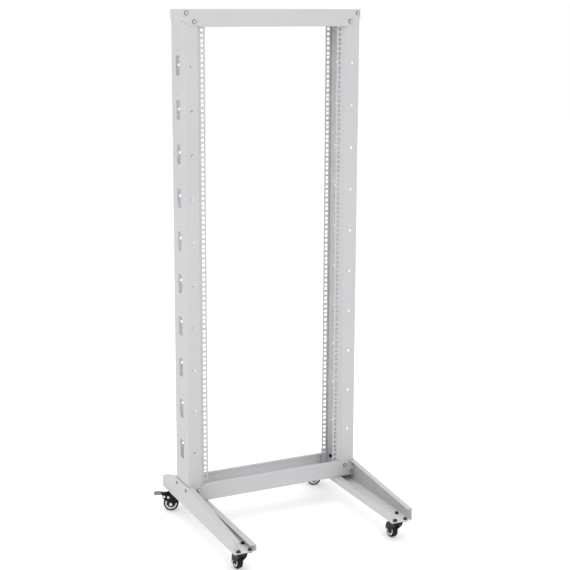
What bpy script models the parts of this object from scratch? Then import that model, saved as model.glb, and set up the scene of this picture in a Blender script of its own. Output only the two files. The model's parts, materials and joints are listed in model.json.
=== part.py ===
"""Open two-post 19-inch rack on four swivel casters.

Metres, +Z up.  The front of the rack faces -Y.  The origin is on the floor, at the middle of the
bounding box.  Inside the rack, x = 0 is the plane of symmetry of the frame, y = 0 is the front face of
the front mounting strips and z = 0 is the floor.
"""

import math

import bmesh
import bpy
from mathutils import Matrix, Vector

# ---------------------------------------------------------------- driving dimensions
GAP = 0.0003                  # clearance between pieces that touch

UNIT = 0.04445                # one rack unit
UNITS = 32
HOLE_STEPS = (0.00635, 0.022225, 0.0381)   # hole centres above the foot of each unit
HOLE_SIDE = 0.0095            # square cage-nut hole
HOLE_COLUMN_X = 0.23255       # half of the 465.1 mm between hole columns

FRAME_WIDTH = 0.600
SHEET = 0.0020                # posts and feet
BEAM_SHEET = 0.0015
CASTER_HEIGHT = 0.070

STRIP_INNER_X = 0.2234        # half of the clear opening
STRIP_OUTER_X = 0.2405
JOG_X = 0.2515                # where the jog meets the outer flange
STRIP_RECESS = 0.012
STRIP_SPACING = 0.078         # outer face of front strips to outer face of rear strips

SLOT_WIDTH = 0.031
SLOT_HEIGHT = 0.060
SLOT_CORNER = 0.005
SLOT_FIRST_UNIT = 2.5         # slot centres, in units below the top of the strips
SLOT_PITCH_UNITS = 3
SLOT_COUNT = 10
FLANGE_HOLE_X = 0.2723
FLANGE_HOLE_RADIUS = 0.0043

BEAM_HEIGHT = 0.0525
BEAM_LIP = 0.0138             # the lips end level with the strips
BEAM_HEADROOM = 0.0026        # top beam above the last unit
WALL_END_X = 0.2460           # full-height wall ends here
TAB_START_X = 0.2500
TAB_STEP = 0.0034             # the end tabs are this much shorter than the wall
TAB_CHAMFER_X = 0.2780        # the end tabs are chamfered from here outwards
END_WALL_HEIGHT = 0.0292
BEAM_SCREWS = (               # half distance, distance from the beam's web face, name
    (0.2873, 0.0120, "outer"),
    (0.2618, 0.0370, "inner"),
)

FOOT_WIDTH = 0.072
FOOT_FRONT = 0.376            # ahead of the front strips
FOOT_REAR = 0.208             # behind the front strips
FOOT_END_HEIGHT = 0.0393
FOOT_TOP_HEIGHT = 0.0750
FOOT_TOP_LIP = 0.018
FOOT_INNER_HEIGHT = 0.0215
FOOT_INNER_LIP = 0.021
FOOT_BOLT_BELOW_UNITS = 0.0152

FASTENER_SIDES = 6
SHANK_RADIUS = 0.0029
SHANK_HOLE_RADIUS = 0.0036
SCREW_HEAD_RADIUS = 0.0066
SCREW_HEAD_HEIGHT = 0.0034
HEX_RADIUS = 0.0058           # across corners of a 10 mm hexagon
NUT_HEIGHT = 0.0048

CASTER_FROM_FRONT_END = 0.034
CASTER_FROM_REAR_END = 0.050
REAR_TURN = math.radians(65.0)   # how far the rear casters are swivelled, from above
CASTER_X = 0.2637
PLATE_SIZE = (0.050, 0.066, 0.0020)
PLATE_BOLTS = (0.035, 0.050)
RACE_RADIUS = 0.020
RACE_HEIGHT = 0.0045
KINGPIN_RADIUS = 0.0050
KINGPIN_HEAD_RADIUS = 0.0085
KINGPIN_HEAD = 0.0018
KINGPIN_SIDES = 10
CROWN_RADIUS = 0.023
CROWN_HEIGHT = 0.0035
CROWN_SIDES = 16
TRAIL = 0.025                 # axle behind the swivel axis
WHEEL_RADIUS = 0.025
TREAD_WIDTH = 0.018
TREAD_SIDES = 24
RIM_RADIUS = 0.0190
RIM_SIDES = 14
FORK_INNER = 0.0115           # half of the space between the fork's cheeks
FORK_SHEET = 0.0025
AXLE_RADIUS = 0.0030
BRAKE_PIVOT = (0.0468, 0.0502)   # behind the swivel axis, above the floor
BRAKE_PIN_RADIUS = 0.0022
PEDAL_REACH = 0.081           # pedal tip behind the swivel axis
PEDAL_WIDTH = 0.024

# ---------------------------------------------------------------- derived places
BOLT_END_X = FRAME_WIDTH / 2 + GAP + SCREW_HEAD_HEIGHT
PEDAL_CORNER_X = CASTER_X + PEDAL_REACH * math.sin(REAR_TURN) + PEDAL_WIDTH / 2 * math.cos(REAR_TURN)
CENTRE_X = (PEDAL_CORNER_X - BOLT_END_X) / 2
CENTRE_Y = (FOOT_FRONT - FOOT_REAR) / 2

FOOT_OUTER_X = FRAME_WIDTH / 2
FOOT_WALL_X = FOOT_OUTER_X - SHEET                   # inner face of the foot's outer wall
BEAM_END_X = FOOT_WALL_X - GAP
POST_OUTER_X = BEAM_END_X - BEAM_SHEET - GAP
POST_FRONT_Y = -STRIP_RECESS
POST_REAR_Y = STRIP_SPACING + STRIP_RECESS
MID_Y = STRIP_SPACING / 2
BEAM_FRONT_Y = POST_FRONT_Y - GAP - BEAM_SHEET
BEAM_REAR_Y = POST_REAR_Y + GAP + BEAM_SHEET

FOOT_BOTTOM_Z = CASTER_HEIGHT
LOW_BEAM_Z = FOOT_BOTTOM_Z + FOOT_INNER_HEIGHT + GAP  # web face of the bottom beam
UNITS_BOTTOM_Z = LOW_BEAM_Z + BEAM_HEIGHT
UNITS_TOP_Z = UNITS_BOTTOM_Z + UNITS * UNIT
TOP_BEAM_Z = UNITS_TOP_Z + BEAM_HEADROOM + BEAM_HEIGHT  # web face of the top beam
POST_BOTTOM_Z = LOW_BEAM_Z + BEAM_SHEET + GAP
POST_TOP_Z = TOP_BEAM_Z - BEAM_SHEET - GAP
FOOT_BOLT_Z = UNITS_BOTTOM_Z - FOOT_BOLT_BELOW_UNITS
TOP_WEB_HOLE_Z = POST_TOP_Z - (FOOT_BOLT_Z - POST_BOTTOM_Z)
FOOT_BOLT_YS = (0.0, STRIP_SPACING)

PLATE_TOP_Z = CASTER_HEIGHT - GAP
PLATE_BOTTOM_Z = PLATE_TOP_Z - PLATE_SIZE[2]
RACE_BOTTOM_Z = PLATE_BOTTOM_Z - RACE_HEIGHT
CROWN_TOP_Z = RACE_BOTTOM_Z - GAP
CROWN_BOTTOM_Z = CROWN_TOP_Z - CROWN_HEIGHT
CASTERS = {
    "front_left": (-CASTER_X, -FOOT_FRONT + CASTER_FROM_FRONT_END, 0.0),
    "front_right": (CASTER_X, -FOOT_FRONT + CASTER_FROM_FRONT_END, 0.0),
    "rear_left": (-CASTER_X, FOOT_REAR - CASTER_FROM_REAR_END, REAR_TURN),
    "rear_right": (CASTER_X, FOOT_REAR - CASTER_FROM_REAR_END, REAR_TURN),
}
BRAKED = ("rear_left", "rear_right")
ALONG_AXLE = Matrix.Rotation(math.pi / 2, 4, "Y")           # turns a piece's Z axis onto the axle
PEDAL_SOCKET = PEDAL_REACH - BRAKE_PIVOT[0] - 0.0060        # the lever's end, behind its pivot
PEDAL_FRONT = PEDAL_SOCKET - 0.0180
SIDES = ((-1, "left"), (1, "right"))

# ---------------------------------------------------------------- materials
FINISHES = {
    "powder_coat": ((0.67, 0.67, 0.68), 0.55, 0.0),
    "zinc": ((0.62, 0.64, 0.66), 0.30, 1.0),
    "black_steel": ((0.025, 0.025, 0.027), 0.40, 0.5),
    "tread": ((0.020, 0.020, 0.021), 0.65, 0.0),
    "rim": ((0.72, 0.70, 0.62), 0.40, 0.0),
    "pedal_grey": ((0.20, 0.20, 0.21), 0.50, 0.0),
}


def make_material(name, finish):
    """A material for one piece, in one of the rack's finishes."""
    colour, roughness, metallic = FINISHES[finish]
    material = bpy.data.materials.new(name)
    material.use_nodes = True
    shader = material.node_tree.nodes["Principled BSDF"]
    shader.inputs["Base Color"].default_value = (*colour, 1.0)
    shader.inputs["Roughness"].default_value = roughness
    shader.inputs["Metallic"].default_value = metallic
    return material


# ---------------------------------------------------------------- mesh helpers
def mesh_from(bm, name):
    bmesh.ops.recalc_face_normals(bm, faces=bm.faces)
    mesh = bpy.data.meshes.new(name)
    bm.to_mesh(mesh)
    bm.free()
    return mesh


def add_prism(bm, outline, axis, low, high):
    """Extrude a closed outline along an axis: 'x' takes (y, z) points, 'y' (x, z) and 'z' (x, y)."""
    def point(pair, along):
        a, b = pair
        return {"x": (along, a, b), "y": (a, along, b), "z": (a, b, along)}[axis]

    first = [bm.verts.new(point(pair, low)) for pair in outline]
    last = [bm.verts.new(point(pair, high)) for pair in outline]
    bm.faces.new(first)
    bm.faces.new(reversed(last))
    count = len(outline)
    for i in range(count):
        j = (i + 1) % count
        bm.faces.new((first[j], first[i], last[i], last[j]))


def add_box(bm, low, high):
    """An upright box between two corners."""
    outline = [(low[0], low[1]), (high[0], low[1]), (high[0], high[1]), (low[0], high[1])]
    add_prism(bm, outline, "z", low[2], high[2])


def circle(centre, radius, sides=FASTENER_SIDES, start=None):
    """Corner points of a regular outline, with a flat side at the bottom unless start says otherwise."""
    if start is None:
        start = math.pi / sides
    angles = [start + 2 * math.pi * i / sides for i in range(sides)]
    return [(centre[0] + radius * math.cos(a), centre[1] + radius * math.sin(a)) for a in angles]


def add_turned(bm, profile, matrix, sides):
    """Turn a closed profile of (radius, along) points about the matrix's Z axis.

    Points on the axis become one shared vertex.
    """
    rings = []
    for radius, along in profile:
        if radius == 0.0:
            rings.append([bm.verts.new(matrix @ Vector((0.0, 0.0, along)))])
            continue
        flat = circle((0.0, 0.0), radius, sides)
        rings.append([bm.verts.new(matrix @ Vector((x, y, along))) for x, y in flat])
    closed = profile[0][0] > 0.0
    pairs = list(zip(rings, rings[1:]))
    if closed:
        pairs.append((rings[-1], rings[0]))
    for ring, other in pairs:
        for i in range(sides):
            j = (i + 1) % sides
            corners = [ring[i % len(ring)], ring[j % len(ring)], other[j % len(other)], other[i % len(other)]]
            unique = list(dict.fromkeys(corners))
            bm.faces.new(unique)


def offset_path(path, distance):
    """The path moved sideways to its left by a distance, with mitred corners."""
    moved = []
    for i, point in enumerate(path):
        here = Vector(point)
        sides = []
        if i > 0:
            sides.append((here - Vector(path[i - 1])).normalized())
        if i < len(path) - 1:
            sides.append((Vector(path[i + 1]) - here).normalized())
        normals = [Vector((-s.y, s.x)) for s in sides]
        mitre = sum(normals, Vector((0.0, 0.0))).normalized()
        length = distance / mitre.dot(normals[0])
        moved.append(tuple(here + mitre * length))
    return moved


# ---------------------------------------------------------------- object helpers
def add_object(name, mesh, finish, parent, location=(0.0, 0.0, 0.0), angle=0.0, flip=False):
    """A named sub-part with its own material, under a parent."""
    thing = bpy.data.objects.new(name, mesh)
    bpy.context.scene.collection.objects.link(thing)
    mesh.materials.clear()
    mesh.materials.append(make_material(name, finish))
    thing.parent = parent
    thing.location = location
    thing.rotation_euler = (math.pi if flip else 0.0, 0.0, angle)
    return thing


def add_empty(name, parent, location, angle=0.0):
    empty = bpy.data.objects.new(name, None)
    bpy.context.scene.collection.objects.link(empty)
    empty.parent = parent
    empty.location = location
    empty.rotation_euler = (0.0, 0.0, angle)
    return empty


def add_cutter(name, mesh, parent, operation, targets):
    """A hidden tool body, and a Boolean with it on each target."""
    tool = bpy.data.objects.new(name, mesh)
    bpy.context.scene.collection.objects.link(tool)
    tool.parent = parent
    tool.display_type = "WIRE"
    tool.hide_render = True
    for target in targets:
        modifier = target.modifiers.new(name, "BOOLEAN")
        modifier.operation = operation
        modifier.object = tool
        modifier.solver = "EXACT"
    return tool


def round_off(mesh):
    """Shade the round sides smooth and keep the corners sharp."""
    mesh.shade_smooth()
    mesh.set_sharp_from_angle(angle=math.radians(40))


# ---------------------------------------------------------------- posts
def hole_heights():
    return [UNITS_BOTTOM_Z + unit * UNIT + step for unit in range(UNITS) for step in HOLE_STEPS]


def slot_heights():
    return [UNITS_TOP_Z - (SLOT_FIRST_UNIT + SLOT_PITCH_UNITS * i) * UNIT for i in range(SLOT_COUNT)]


def beam_screw_places():
    """(half distance, height) of the screws through both beams."""
    places = []
    for x, depth, _ in BEAM_SCREWS:
        places.append((x, TOP_BEAM_Z - depth))
        places.append((x, LOW_BEAM_Z + depth))
    return places


def make_post(name, side, rack):
    """A folded channel: web outwards, flanges that jog in to the two square-hole strips."""
    outer = [
        (side * STRIP_INNER_X, 0.0),
        (side * STRIP_OUTER_X, 0.0),
        (side * JOG_X, POST_FRONT_Y),
        (side * POST_OUTER_X, POST_FRONT_Y),
        (side * POST_OUTER_X, POST_REAR_Y),
        (side * JOG_X, POST_REAR_Y),
        (side * STRIP_OUTER_X, STRIP_SPACING),
        (side * STRIP_INNER_X, STRIP_SPACING),
    ]
    inner = offset_path(outer, side * SHEET)
    bm = bmesh.new()
    add_prism(bm, outer + inner[::-1], "z", POST_BOTTOM_Z, POST_TOP_Z)
    post = add_object(name, mesh_from(bm, name), "powder_coat", rack)

    bm = bmesh.new()
    half = HOLE_SIDE / 2
    column = side * HOLE_COLUMN_X
    for z in hole_heights():
        square = [(column - half, z - half), (column + half, z - half), (column + half, z + half),
                  (column - half, z + half)]
        add_prism(bm, square, "y", -SHEET, STRIP_SPACING + SHEET)
    flange_holes = [(FLANGE_HOLE_X, z, FLANGE_HOLE_RADIUS) for z in slot_heights()]
    flange_holes += [(x, z, SHANK_HOLE_RADIUS) for x, z in beam_screw_places()]
    for x, z, radius in flange_holes:
        outline = circle((side * x, z), radius)
        add_prism(bm, outline, "y", POST_FRONT_Y - SHEET, POST_REAR_Y + SHEET)
    web = sorted((side * (POST_OUTER_X - 2 * SHEET), side * (POST_OUTER_X + SHEET)))
    for z in slot_heights():
        add_prism(bm, slot_outline(MID_Y, z), "x", *web)
    for y in FOOT_BOLT_YS:
        for z in (FOOT_BOLT_Z, TOP_WEB_HOLE_Z):
            add_prism(bm, circle((y, z), SHANK_HOLE_RADIUS), "x", *web)
    add_cutter(name + "_holes", mesh_from(bm, name + "_holes"), rack, "DIFFERENCE", [post])


def slot_outline(y, z):
    """A tall slot with cut corners."""
    wide = SLOT_WIDTH / 2
    tall = SLOT_HEIGHT / 2
    cut = SLOT_CORNER
    corner = [(wide, tall - cut), (wide - cut, tall)]
    left = [(-a, b) for a, b in reversed(corner)]
    lower = [(-a, -b) for a, b in corner + left]
    return [(y + a, z + b) for a, b in corner + left + lower]


# ---------------------------------------------------------------- beams
def beam_mesh(name):
    """A shallow box channel with its web face at z = 0, opening downwards."""
    bm = bmesh.new()
    add_box(bm, (-BEAM_END_X, BEAM_FRONT_Y, -BEAM_HEIGHT), (BEAM_END_X, BEAM_REAR_Y, 0.0))
    return mesh_from(bm, name)


def beam_cutters(name, rack, beams):
    """The tools that hollow a beam out; each is a body of its own, in the beam's own frame."""
    inner_x = BEAM_END_X - BEAM_SHEET
    front = BEAM_FRONT_Y + BEAM_SHEET
    rear = BEAM_REAR_Y - BEAM_SHEET
    mouth = -BEAM_HEIGHT
    bodies = {}

    bm = bmesh.new()
    add_box(bm, (-inner_x, front, mouth + BEAM_SHEET), (inner_x, rear, -BEAM_SHEET))
    bodies["cavity"] = bm

    bm = bmesh.new()
    quarter = [
        (STRIP_OUTER_X - 2 * GAP, BEAM_REAR_Y - BEAM_LIP),
        (JOG_X - 2 * GAP, rear),
        (inner_x, rear),
    ]
    right = quarter + [(x, front + rear - y) for x, y in reversed(quarter)]
    left = [(-x, y) for x, y in reversed(right)]
    add_prism(bm, right + left, "z", mouth - 0.01, mouth + 2 * BEAM_SHEET)
    bodies["mouth"] = bm

    bm = bmesh.new()
    end_z = -END_WALL_HEIGHT
    step = [
        (WALL_END_X, mouth - 0.01),
        (WALL_END_X, mouth),
        (TAB_START_X, mouth + TAB_STEP),
        (TAB_CHAMFER_X, mouth + TAB_STEP),
        (BEAM_END_X, end_z),
        (BEAM_END_X + 0.01, end_z),
        (BEAM_END_X + 0.01, mouth - 0.01),
    ]
    for side in (-1, 1):
        add_prism(bm, [(side * x, z) for x, z in step], "y", BEAM_FRONT_Y - 0.01, BEAM_REAR_Y + 0.01)
    bodies["ends"] = bm

    bm = bmesh.new()
    for side in (-1, 1):
        for x, depth, _ in BEAM_SCREWS:
            outline = circle((side * x, -depth), SHANK_HOLE_RADIUS)
            add_prism(bm, outline, "y", BEAM_FRONT_Y - 0.01, BEAM_REAR_Y + 0.01)
    bodies["holes"] = bm

    for body, bm in bodies.items():
        mesh = mesh_from(bm, name + "_" + body)
        for beam in beams:
            tool = add_cutter(beam.name + "_" + body, mesh, rack, "DIFFERENCE", [beam])
            tool.location = beam.location
            tool.rotation_euler = beam.rotation_euler


def make_beams(rack):
    top = add_object("top_beam", beam_mesh("top_beam"), "powder_coat", rack, (0.0, 0.0, TOP_BEAM_Z))
    low = add_object("bottom_beam", beam_mesh("bottom_beam"), "powder_coat", rack,
                     (0.0, STRIP_SPACING, LOW_BEAM_Z), flip=True)
    beam_cutters("beam", rack, [top, low])


# ---------------------------------------------------------------- feet
def foot_top_line(drop=0.0, spare=0.0):
    """(y, z) points along the foot's tapered top, lowered by drop and lengthened by spare."""
    slope_front = (FOOT_TOP_HEIGHT - FOOT_END_HEIGHT) / (FOOT_FRONT + POST_FRONT_Y)
    slope_rear = (FOOT_TOP_HEIGHT - FOOT_END_HEIGHT) / (FOOT_REAR - POST_REAR_Y)
    end = FOOT_BOTTOM_Z + FOOT_END_HEIGHT - drop
    top = FOOT_BOTTOM_Z + FOOT_TOP_HEIGHT - drop
    return [
        (-FOOT_FRONT - spare, end - spare * slope_front),
        (POST_FRONT_Y, top),
        (POST_REAR_Y, top),
        (FOOT_REAR + spare, end - spare * slope_rear),
    ]


def make_foot(name, side, rack):
    """A long channel: tall tapered outer wall, floor, low inner wall, and a lip on each wall."""
    spare = 0.01
    bottom = FOOT_BOTTOM_Z
    outer = FOOT_OUTER_X
    inner = FOOT_OUTER_X - FOOT_WIDTH
    inner_top = bottom + FOOT_INNER_HEIGHT
    lip_edge = outer - FOOT_TOP_LIP

    outline = [(-FOOT_FRONT, bottom)] + foot_top_line() + [(FOOT_REAR, bottom)]
    bm = bmesh.new()
    add_prism(bm, outline, "x", *sorted((side * inner, side * outer)))
    foot = add_object(name, mesh_from(bm, name), "powder_coat", rack)

    def cut(part, outline, x_low, x_high):
        bm = bmesh.new()
        add_prism(bm, outline, "x", *sorted((side * x_low, side * x_high)))
        tool = name + "_" + part
        add_cutter(tool, mesh_from(bm, tool), rack, "DIFFERENCE", [foot])

    def band(y_low, y_high, z_low, z_high):
        return [(y_low, z_low), (y_high, z_low), (y_high, z_high), (y_low, z_high)]

    ends = (-FOOT_FRONT - spare, FOOT_REAR + spare)
    above = bottom + FOOT_TOP_HEIGHT + spare
    ceiling = foot_top_line(SHEET, spare)
    cut("floor_space", band(*ends, bottom + SHEET, inner_top - SHEET), inner + SHEET, FOOT_WALL_X)
    wall_space = [(ends[0], inner_top - 2 * SHEET)] + ceiling + [(ends[1], inner_top - 2 * SHEET)]
    cut("wall_space", wall_space, inner + FOOT_INNER_LIP, FOOT_WALL_X)
    cut("mouth", band(*ends, inner_top, above), inner - spare, lip_edge)
    well = band(BEAM_FRONT_Y - SHEET, BEAM_REAR_Y + SHEET, inner_top + SHEET, above)
    cut("post_well", well, inner - spare, FOOT_WALL_X)

    bm = bmesh.new()
    wall = sorted((side * (FOOT_WALL_X - SHEET), side * (FOOT_OUTER_X + SHEET)))
    for y in FOOT_BOLT_YS:
        add_prism(bm, circle((y, FOOT_BOLT_Z), SHANK_HOLE_RADIUS), "x", *wall)
    for x, y in caster_bolt_places():
        if x * side > 0:
            add_prism(bm, circle((x, y), SHANK_HOLE_RADIUS), "z", bottom - SHEET, bottom + 2 * SHEET)
    add_cutter(name + "_holes", mesh_from(bm, name + "_holes"), rack, "DIFFERENCE", [foot])


def caster_bolt_places():
    places = []
    for x, y, _ in CASTERS.values():
        for dx in (-1, 1):
            for dy in (-1, 1):
                places.append((x + dx * PLATE_BOLTS[0] / 2, y + dy * PLATE_BOLTS[1] / 2))
    return places


# ---------------------------------------------------------------- fasteners
def frame_at(place, direction):
    """A matrix whose Z axis points along a direction."""
    return Matrix.Translation(place) @ Vector(direction).to_track_quat("Z", "Y").to_matrix().to_4x4()


def screw_mesh(name, place, direction, grip):
    """A screw whose head sits on a surface at place, with its nut run up the thread to grip the sheets."""
    bm = bmesh.new()
    nut_face = -grip - GAP
    end = nut_face - NUT_HEIGHT
    add_turned(bm, [
        (0.0, end),
        (HEX_RADIUS, end),
        (HEX_RADIUS, nut_face),
        (SHANK_RADIUS, nut_face),
        (SHANK_RADIUS, GAP),
        (SCREW_HEAD_RADIUS, GAP),
        (SCREW_HEAD_RADIUS, GAP + SCREW_HEAD_HEIGHT),
        (0.0, GAP + SCREW_HEAD_HEIGHT),
    ], frame_at(place, direction), FASTENER_SIDES)
    return mesh_from(bm, name)


def make_beam_screws(beam, rack, places):
    """One screw and nut at each of a beam's eight joints with the posts."""
    grip = BEAM_SHEET + GAP + SHEET
    for side, side_name in SIDES:
        for face, way, face_name in ((BEAM_FRONT_Y, -1, "front"), (BEAM_REAR_Y, 1, "rear")):
            for x, z, place_name in places:
                name = f"{beam}_{face_name}_{side_name}_{place_name}_screw"
                mesh = screw_mesh(name, Vector((side * x, face, z)), Vector((0.0, way, 0.0)), grip)
                add_object(name, mesh, "zinc", rack)


def make_foot_bolts(rack):
    """The bolts from each foot's outer wall into the post's web, each with its nut."""
    grip = FOOT_OUTER_X - POST_OUTER_X + SHEET
    for side, side_name in SIDES:
        for y, face_name in zip(FOOT_BOLT_YS, ("front", "rear")):
            name = f"{side_name}_foot_{face_name}_bolt"
            place = Vector((side * FOOT_OUTER_X, y, FOOT_BOLT_Z))
            mesh = screw_mesh(name, place, Vector((side, 0.0, 0.0)), grip)
            add_object(name, mesh, "zinc", rack)


# ---------------------------------------------------------------- casters
def turned(name, profile, sides, matrix=None):
    bm = bmesh.new()
    add_turned(bm, profile, matrix or Matrix.Identity(4), sides)
    mesh = mesh_from(bm, name)
    round_off(mesh)
    return mesh


def plate_mesh(name):
    bm = bmesh.new()
    half_x = PLATE_SIZE[0] / 2
    half_y = PLATE_SIZE[1] / 2
    add_box(bm, (-half_x, -half_y, PLATE_BOTTOM_Z), (half_x, half_y, PLATE_TOP_Z))
    return mesh_from(bm, name)


def plate_fittings(name):
    """The raceway pressed into the plate's underside, and the four bolts that hold the plate."""
    bm = bmesh.new()
    inside = (PLATE_BOTTOM_Z + PLATE_TOP_Z) / 2
    level = Matrix.Identity(4)
    add_turned(bm, [
        (0.0, RACE_BOTTOM_Z),
        (RACE_RADIUS - 0.002, RACE_BOTTOM_Z),
        (RACE_RADIUS, PLATE_BOTTOM_Z - 0.001),
        (RACE_RADIUS, inside),
        (0.0, inside),
    ], level, CROWN_SIDES)
    head = FOOT_BOTTOM_Z + SHEET + GAP
    for dx in (-1, 1):
        for dy in (-1, 1):
            spot = Matrix.Translation((dx * PLATE_BOLTS[0] / 2, dy * PLATE_BOLTS[1] / 2, 0.0))
            add_turned(bm, [
                (0.0, inside),
                (SHANK_RADIUS, inside),
                (SHANK_RADIUS, head),
                (HEX_RADIUS, head),
                (HEX_RADIUS, head + NUT_HEIGHT),
                (0.0, head + NUT_HEIGHT),
            ], spot, FASTENER_SIDES)
    return mesh_from(bm, name)


def kingpin_bore(name):
    bm = bmesh.new()
    bore = circle((0.0, 0.0), KINGPIN_RADIUS + 2 * GAP, KINGPIN_SIDES)
    add_prism(bm, bore, "z", RACE_BOTTOM_Z - SHEET, PLATE_TOP_Z + SHEET)
    return mesh_from(bm, name)


def cheek_outline(braked):
    """One cheek of the fork, as (behind the swivel axis, above the floor) points."""
    boss = 0.0085
    boss_arc = [math.radians(a) for a in (215, 245, 275, 305, 335, 5)]
    arc = [(TRAIL + boss * math.cos(a), WHEEL_RADIUS + boss * math.sin(a)) for a in boss_arc]
    top = CROWN_BOTTOM_Z + CROWN_HEIGHT / 2
    front = [(-0.0165, top), (-0.0160, CROWN_BOTTOM_Z - 0.008)]
    if not braked:
        return front + arc + [(0.0325, 0.040), (0.0230, top - 0.004), (0.0165, top)]
    pivot_y, pivot_z = BRAKE_PIVOT
    arm = [
        (0.0330, 0.0330),
        (pivot_y - 0.0028, pivot_z - 0.0125),
        (pivot_y + 0.0042, pivot_z - 0.0067),
        (pivot_y + 0.0063, pivot_z - 0.0002),
        (pivot_y + 0.0045, pivot_z + 0.0048),
        (pivot_y - 0.0010, pivot_z + 0.0070),
        (pivot_y - 0.0108, top - 0.0024),
        (0.0165, top),
    ]
    return front + arc + arm


def fork_mesh(name):
    """The fork's round crown; the cheeks are joined to it."""
    return turned(name, [
        (KINGPIN_RADIUS + 2 * GAP, CROWN_BOTTOM_Z),
        (CROWN_RADIUS - 0.002, CROWN_BOTTOM_Z),
        (CROWN_RADIUS, CROWN_BOTTOM_Z + 0.001),
        (CROWN_RADIUS, CROWN_TOP_Z),
        (KINGPIN_RADIUS + 2 * GAP, CROWN_TOP_Z),
    ], CROWN_SIDES)


def cheeks_mesh(name, braked):
    bm = bmesh.new()
    for side in (-1, 1):
        span = sorted((side * FORK_INNER, side * (FORK_INNER + FORK_SHEET)))
        add_prism(bm, cheek_outline(braked), "x", *span)
    return mesh_from(bm, name)


def fork_holes(name, braked):
    bm = bmesh.new()
    reach = FORK_INNER + 2 * FORK_SHEET
    add_prism(bm, circle((TRAIL, WHEEL_RADIUS), AXLE_RADIUS + 2 * GAP), "x", -reach, reach)
    if braked:
        add_prism(bm, circle(BRAKE_PIVOT, BRAKE_PIN_RADIUS + 2 * GAP), "x", -reach, reach)
    return mesh_from(bm, name)


def wheel_profiles():
    """Closed (radius, along the axle) outlines of the tread ring and of the wheel's centre."""
    half = TREAD_WIDTH / 2
    seat = RIM_RADIUS + GAP
    outside = WHEEL_RADIUS / math.cos(math.pi / TREAD_SIDES)   # the flats lie at the wheel's radius
    tread = [
        (seat, -half),
        (outside - 0.0025, -half),
        (outside, -half + 0.0045),
        (outside, half - 0.0045),
        (outside - 0.0025, half),
        (seat, half),
    ]
    bore = AXLE_RADIUS + GAP
    hub = 0.0070
    boss = half + 0.0008
    web = half - 0.0045
    rim = [
        (bore, -boss),
        (hub, -boss),
        (RIM_RADIUS - 0.0040, -web),
        (RIM_RADIUS, -half),
        (RIM_RADIUS, half),
        (RIM_RADIUS - 0.0040, web),
        (hub, boss),
        (bore, boss),
    ]
    return tread, rim


def axle_meshes(corner):
    """The axle bolt, head on the +X side, and its nut on the -X side."""
    cheek = FORK_INNER + FORK_SHEET + GAP
    head = 0.0035
    tail = cheek + NUT_HEIGHT + 0.0015
    bolt = turned(corner + "_axle", [
        (0.0, -tail),
        (AXLE_RADIUS, -tail),
        (AXLE_RADIUS, cheek),
        (HEX_RADIUS, cheek),
        (HEX_RADIUS, cheek + head),
        (0.0, cheek + head),
    ], FASTENER_SIDES, ALONG_AXLE)
    bore = (AXLE_RADIUS + GAP) / math.cos(math.pi / FASTENER_SIDES)
    nut = turned(corner + "_axle_nut", [
        (bore, -cheek - NUT_HEIGHT),
        (HEX_RADIUS, -cheek - NUT_HEIGHT),
        (HEX_RADIUS, -cheek),
        (bore, -cheek),
    ], FASTENER_SIDES, ALONG_AXLE)
    return bolt, nut


def lever_outline():
    """Side view of the brake lever about its pivot: a shoe below and an arm running back to the pedal."""
    return [
        (-0.0024, -0.0062),
        (0.0008, -0.0104),
        (0.0040, -0.0100),
        (0.0052, -0.0010),
        (0.0075, 0.0045),
        (PEDAL_FRONT, 0.0067),
        (PEDAL_SOCKET, 0.0060),
        (PEDAL_SOCKET, 0.0080),
        (PEDAL_FRONT, 0.0087),
        (-0.0075, 0.0088),
        (-0.0075, 0.0060),
        (-0.0040, 0.0010),
    ]


def pedal_outline():
    """Side view of the pedal about the same pivot: a sleeve pushed over the end of the lever."""
    tip = PEDAL_REACH - BRAKE_PIVOT[0]
    return [
        (PEDAL_FRONT, 0.0054),
        (tip - 0.0020, 0.0046),
        (tip, 0.0066),
        (tip - 0.0015, 0.0093),
        (PEDAL_FRONT, 0.0101),
        (PEDAL_FRONT, 0.0087 + GAP),
        (PEDAL_SOCKET + GAP, 0.0080 + GAP),
        (PEDAL_SOCKET + GAP, 0.0060 - GAP),
        (PEDAL_FRONT, 0.0067 - GAP),
    ]


def make_brake(corner, swivel):
    """The foot brake behind a rear wheel: lever and pedal about their pivot, and the pivot's rivet."""
    brake = add_empty(corner + "_brake", swivel, (0.0, *BRAKE_PIVOT))
    half = FORK_INNER - 3 * GAP
    bm = bmesh.new()
    add_prism(bm, lever_outline(), "x", -half, half)
    lever = add_object(corner + "_brake_lever", mesh_from(bm, corner + "_brake_lever"), "black_steel", brake)
    bm = bmesh.new()
    add_prism(bm, circle((0.0, 0.0), BRAKE_PIN_RADIUS + 2 * GAP), "x", -2 * half, 2 * half)
    add_cutter(corner + "_lever_bore", mesh_from(bm, corner + "_lever_bore"), brake, "DIFFERENCE", [lever])

    bm = bmesh.new()
    add_prism(bm, pedal_outline(), "x", -PEDAL_WIDTH / 2, PEDAL_WIDTH / 2)
    add_object(corner + "_brake_pedal", mesh_from(bm, corner + "_brake_pedal"), "pedal_grey", brake)

    cheek = FORK_INNER + FORK_SHEET + GAP
    head = 0.0014
    head_radius = 0.0042
    pin = turned(corner + "_brake_pin", [
        (0.0, -cheek - head),
        (head_radius, -cheek - head),
        (head_radius, -cheek),
        (BRAKE_PIN_RADIUS, -cheek),
        (BRAKE_PIN_RADIUS, cheek),
        (head_radius, cheek),
        (head_radius, cheek + head),
        (0.0, cheek + head),
    ], FASTENER_SIDES, ALONG_AXLE)
    add_object(corner + "_brake_pin", pin, "zinc", brake)


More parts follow.
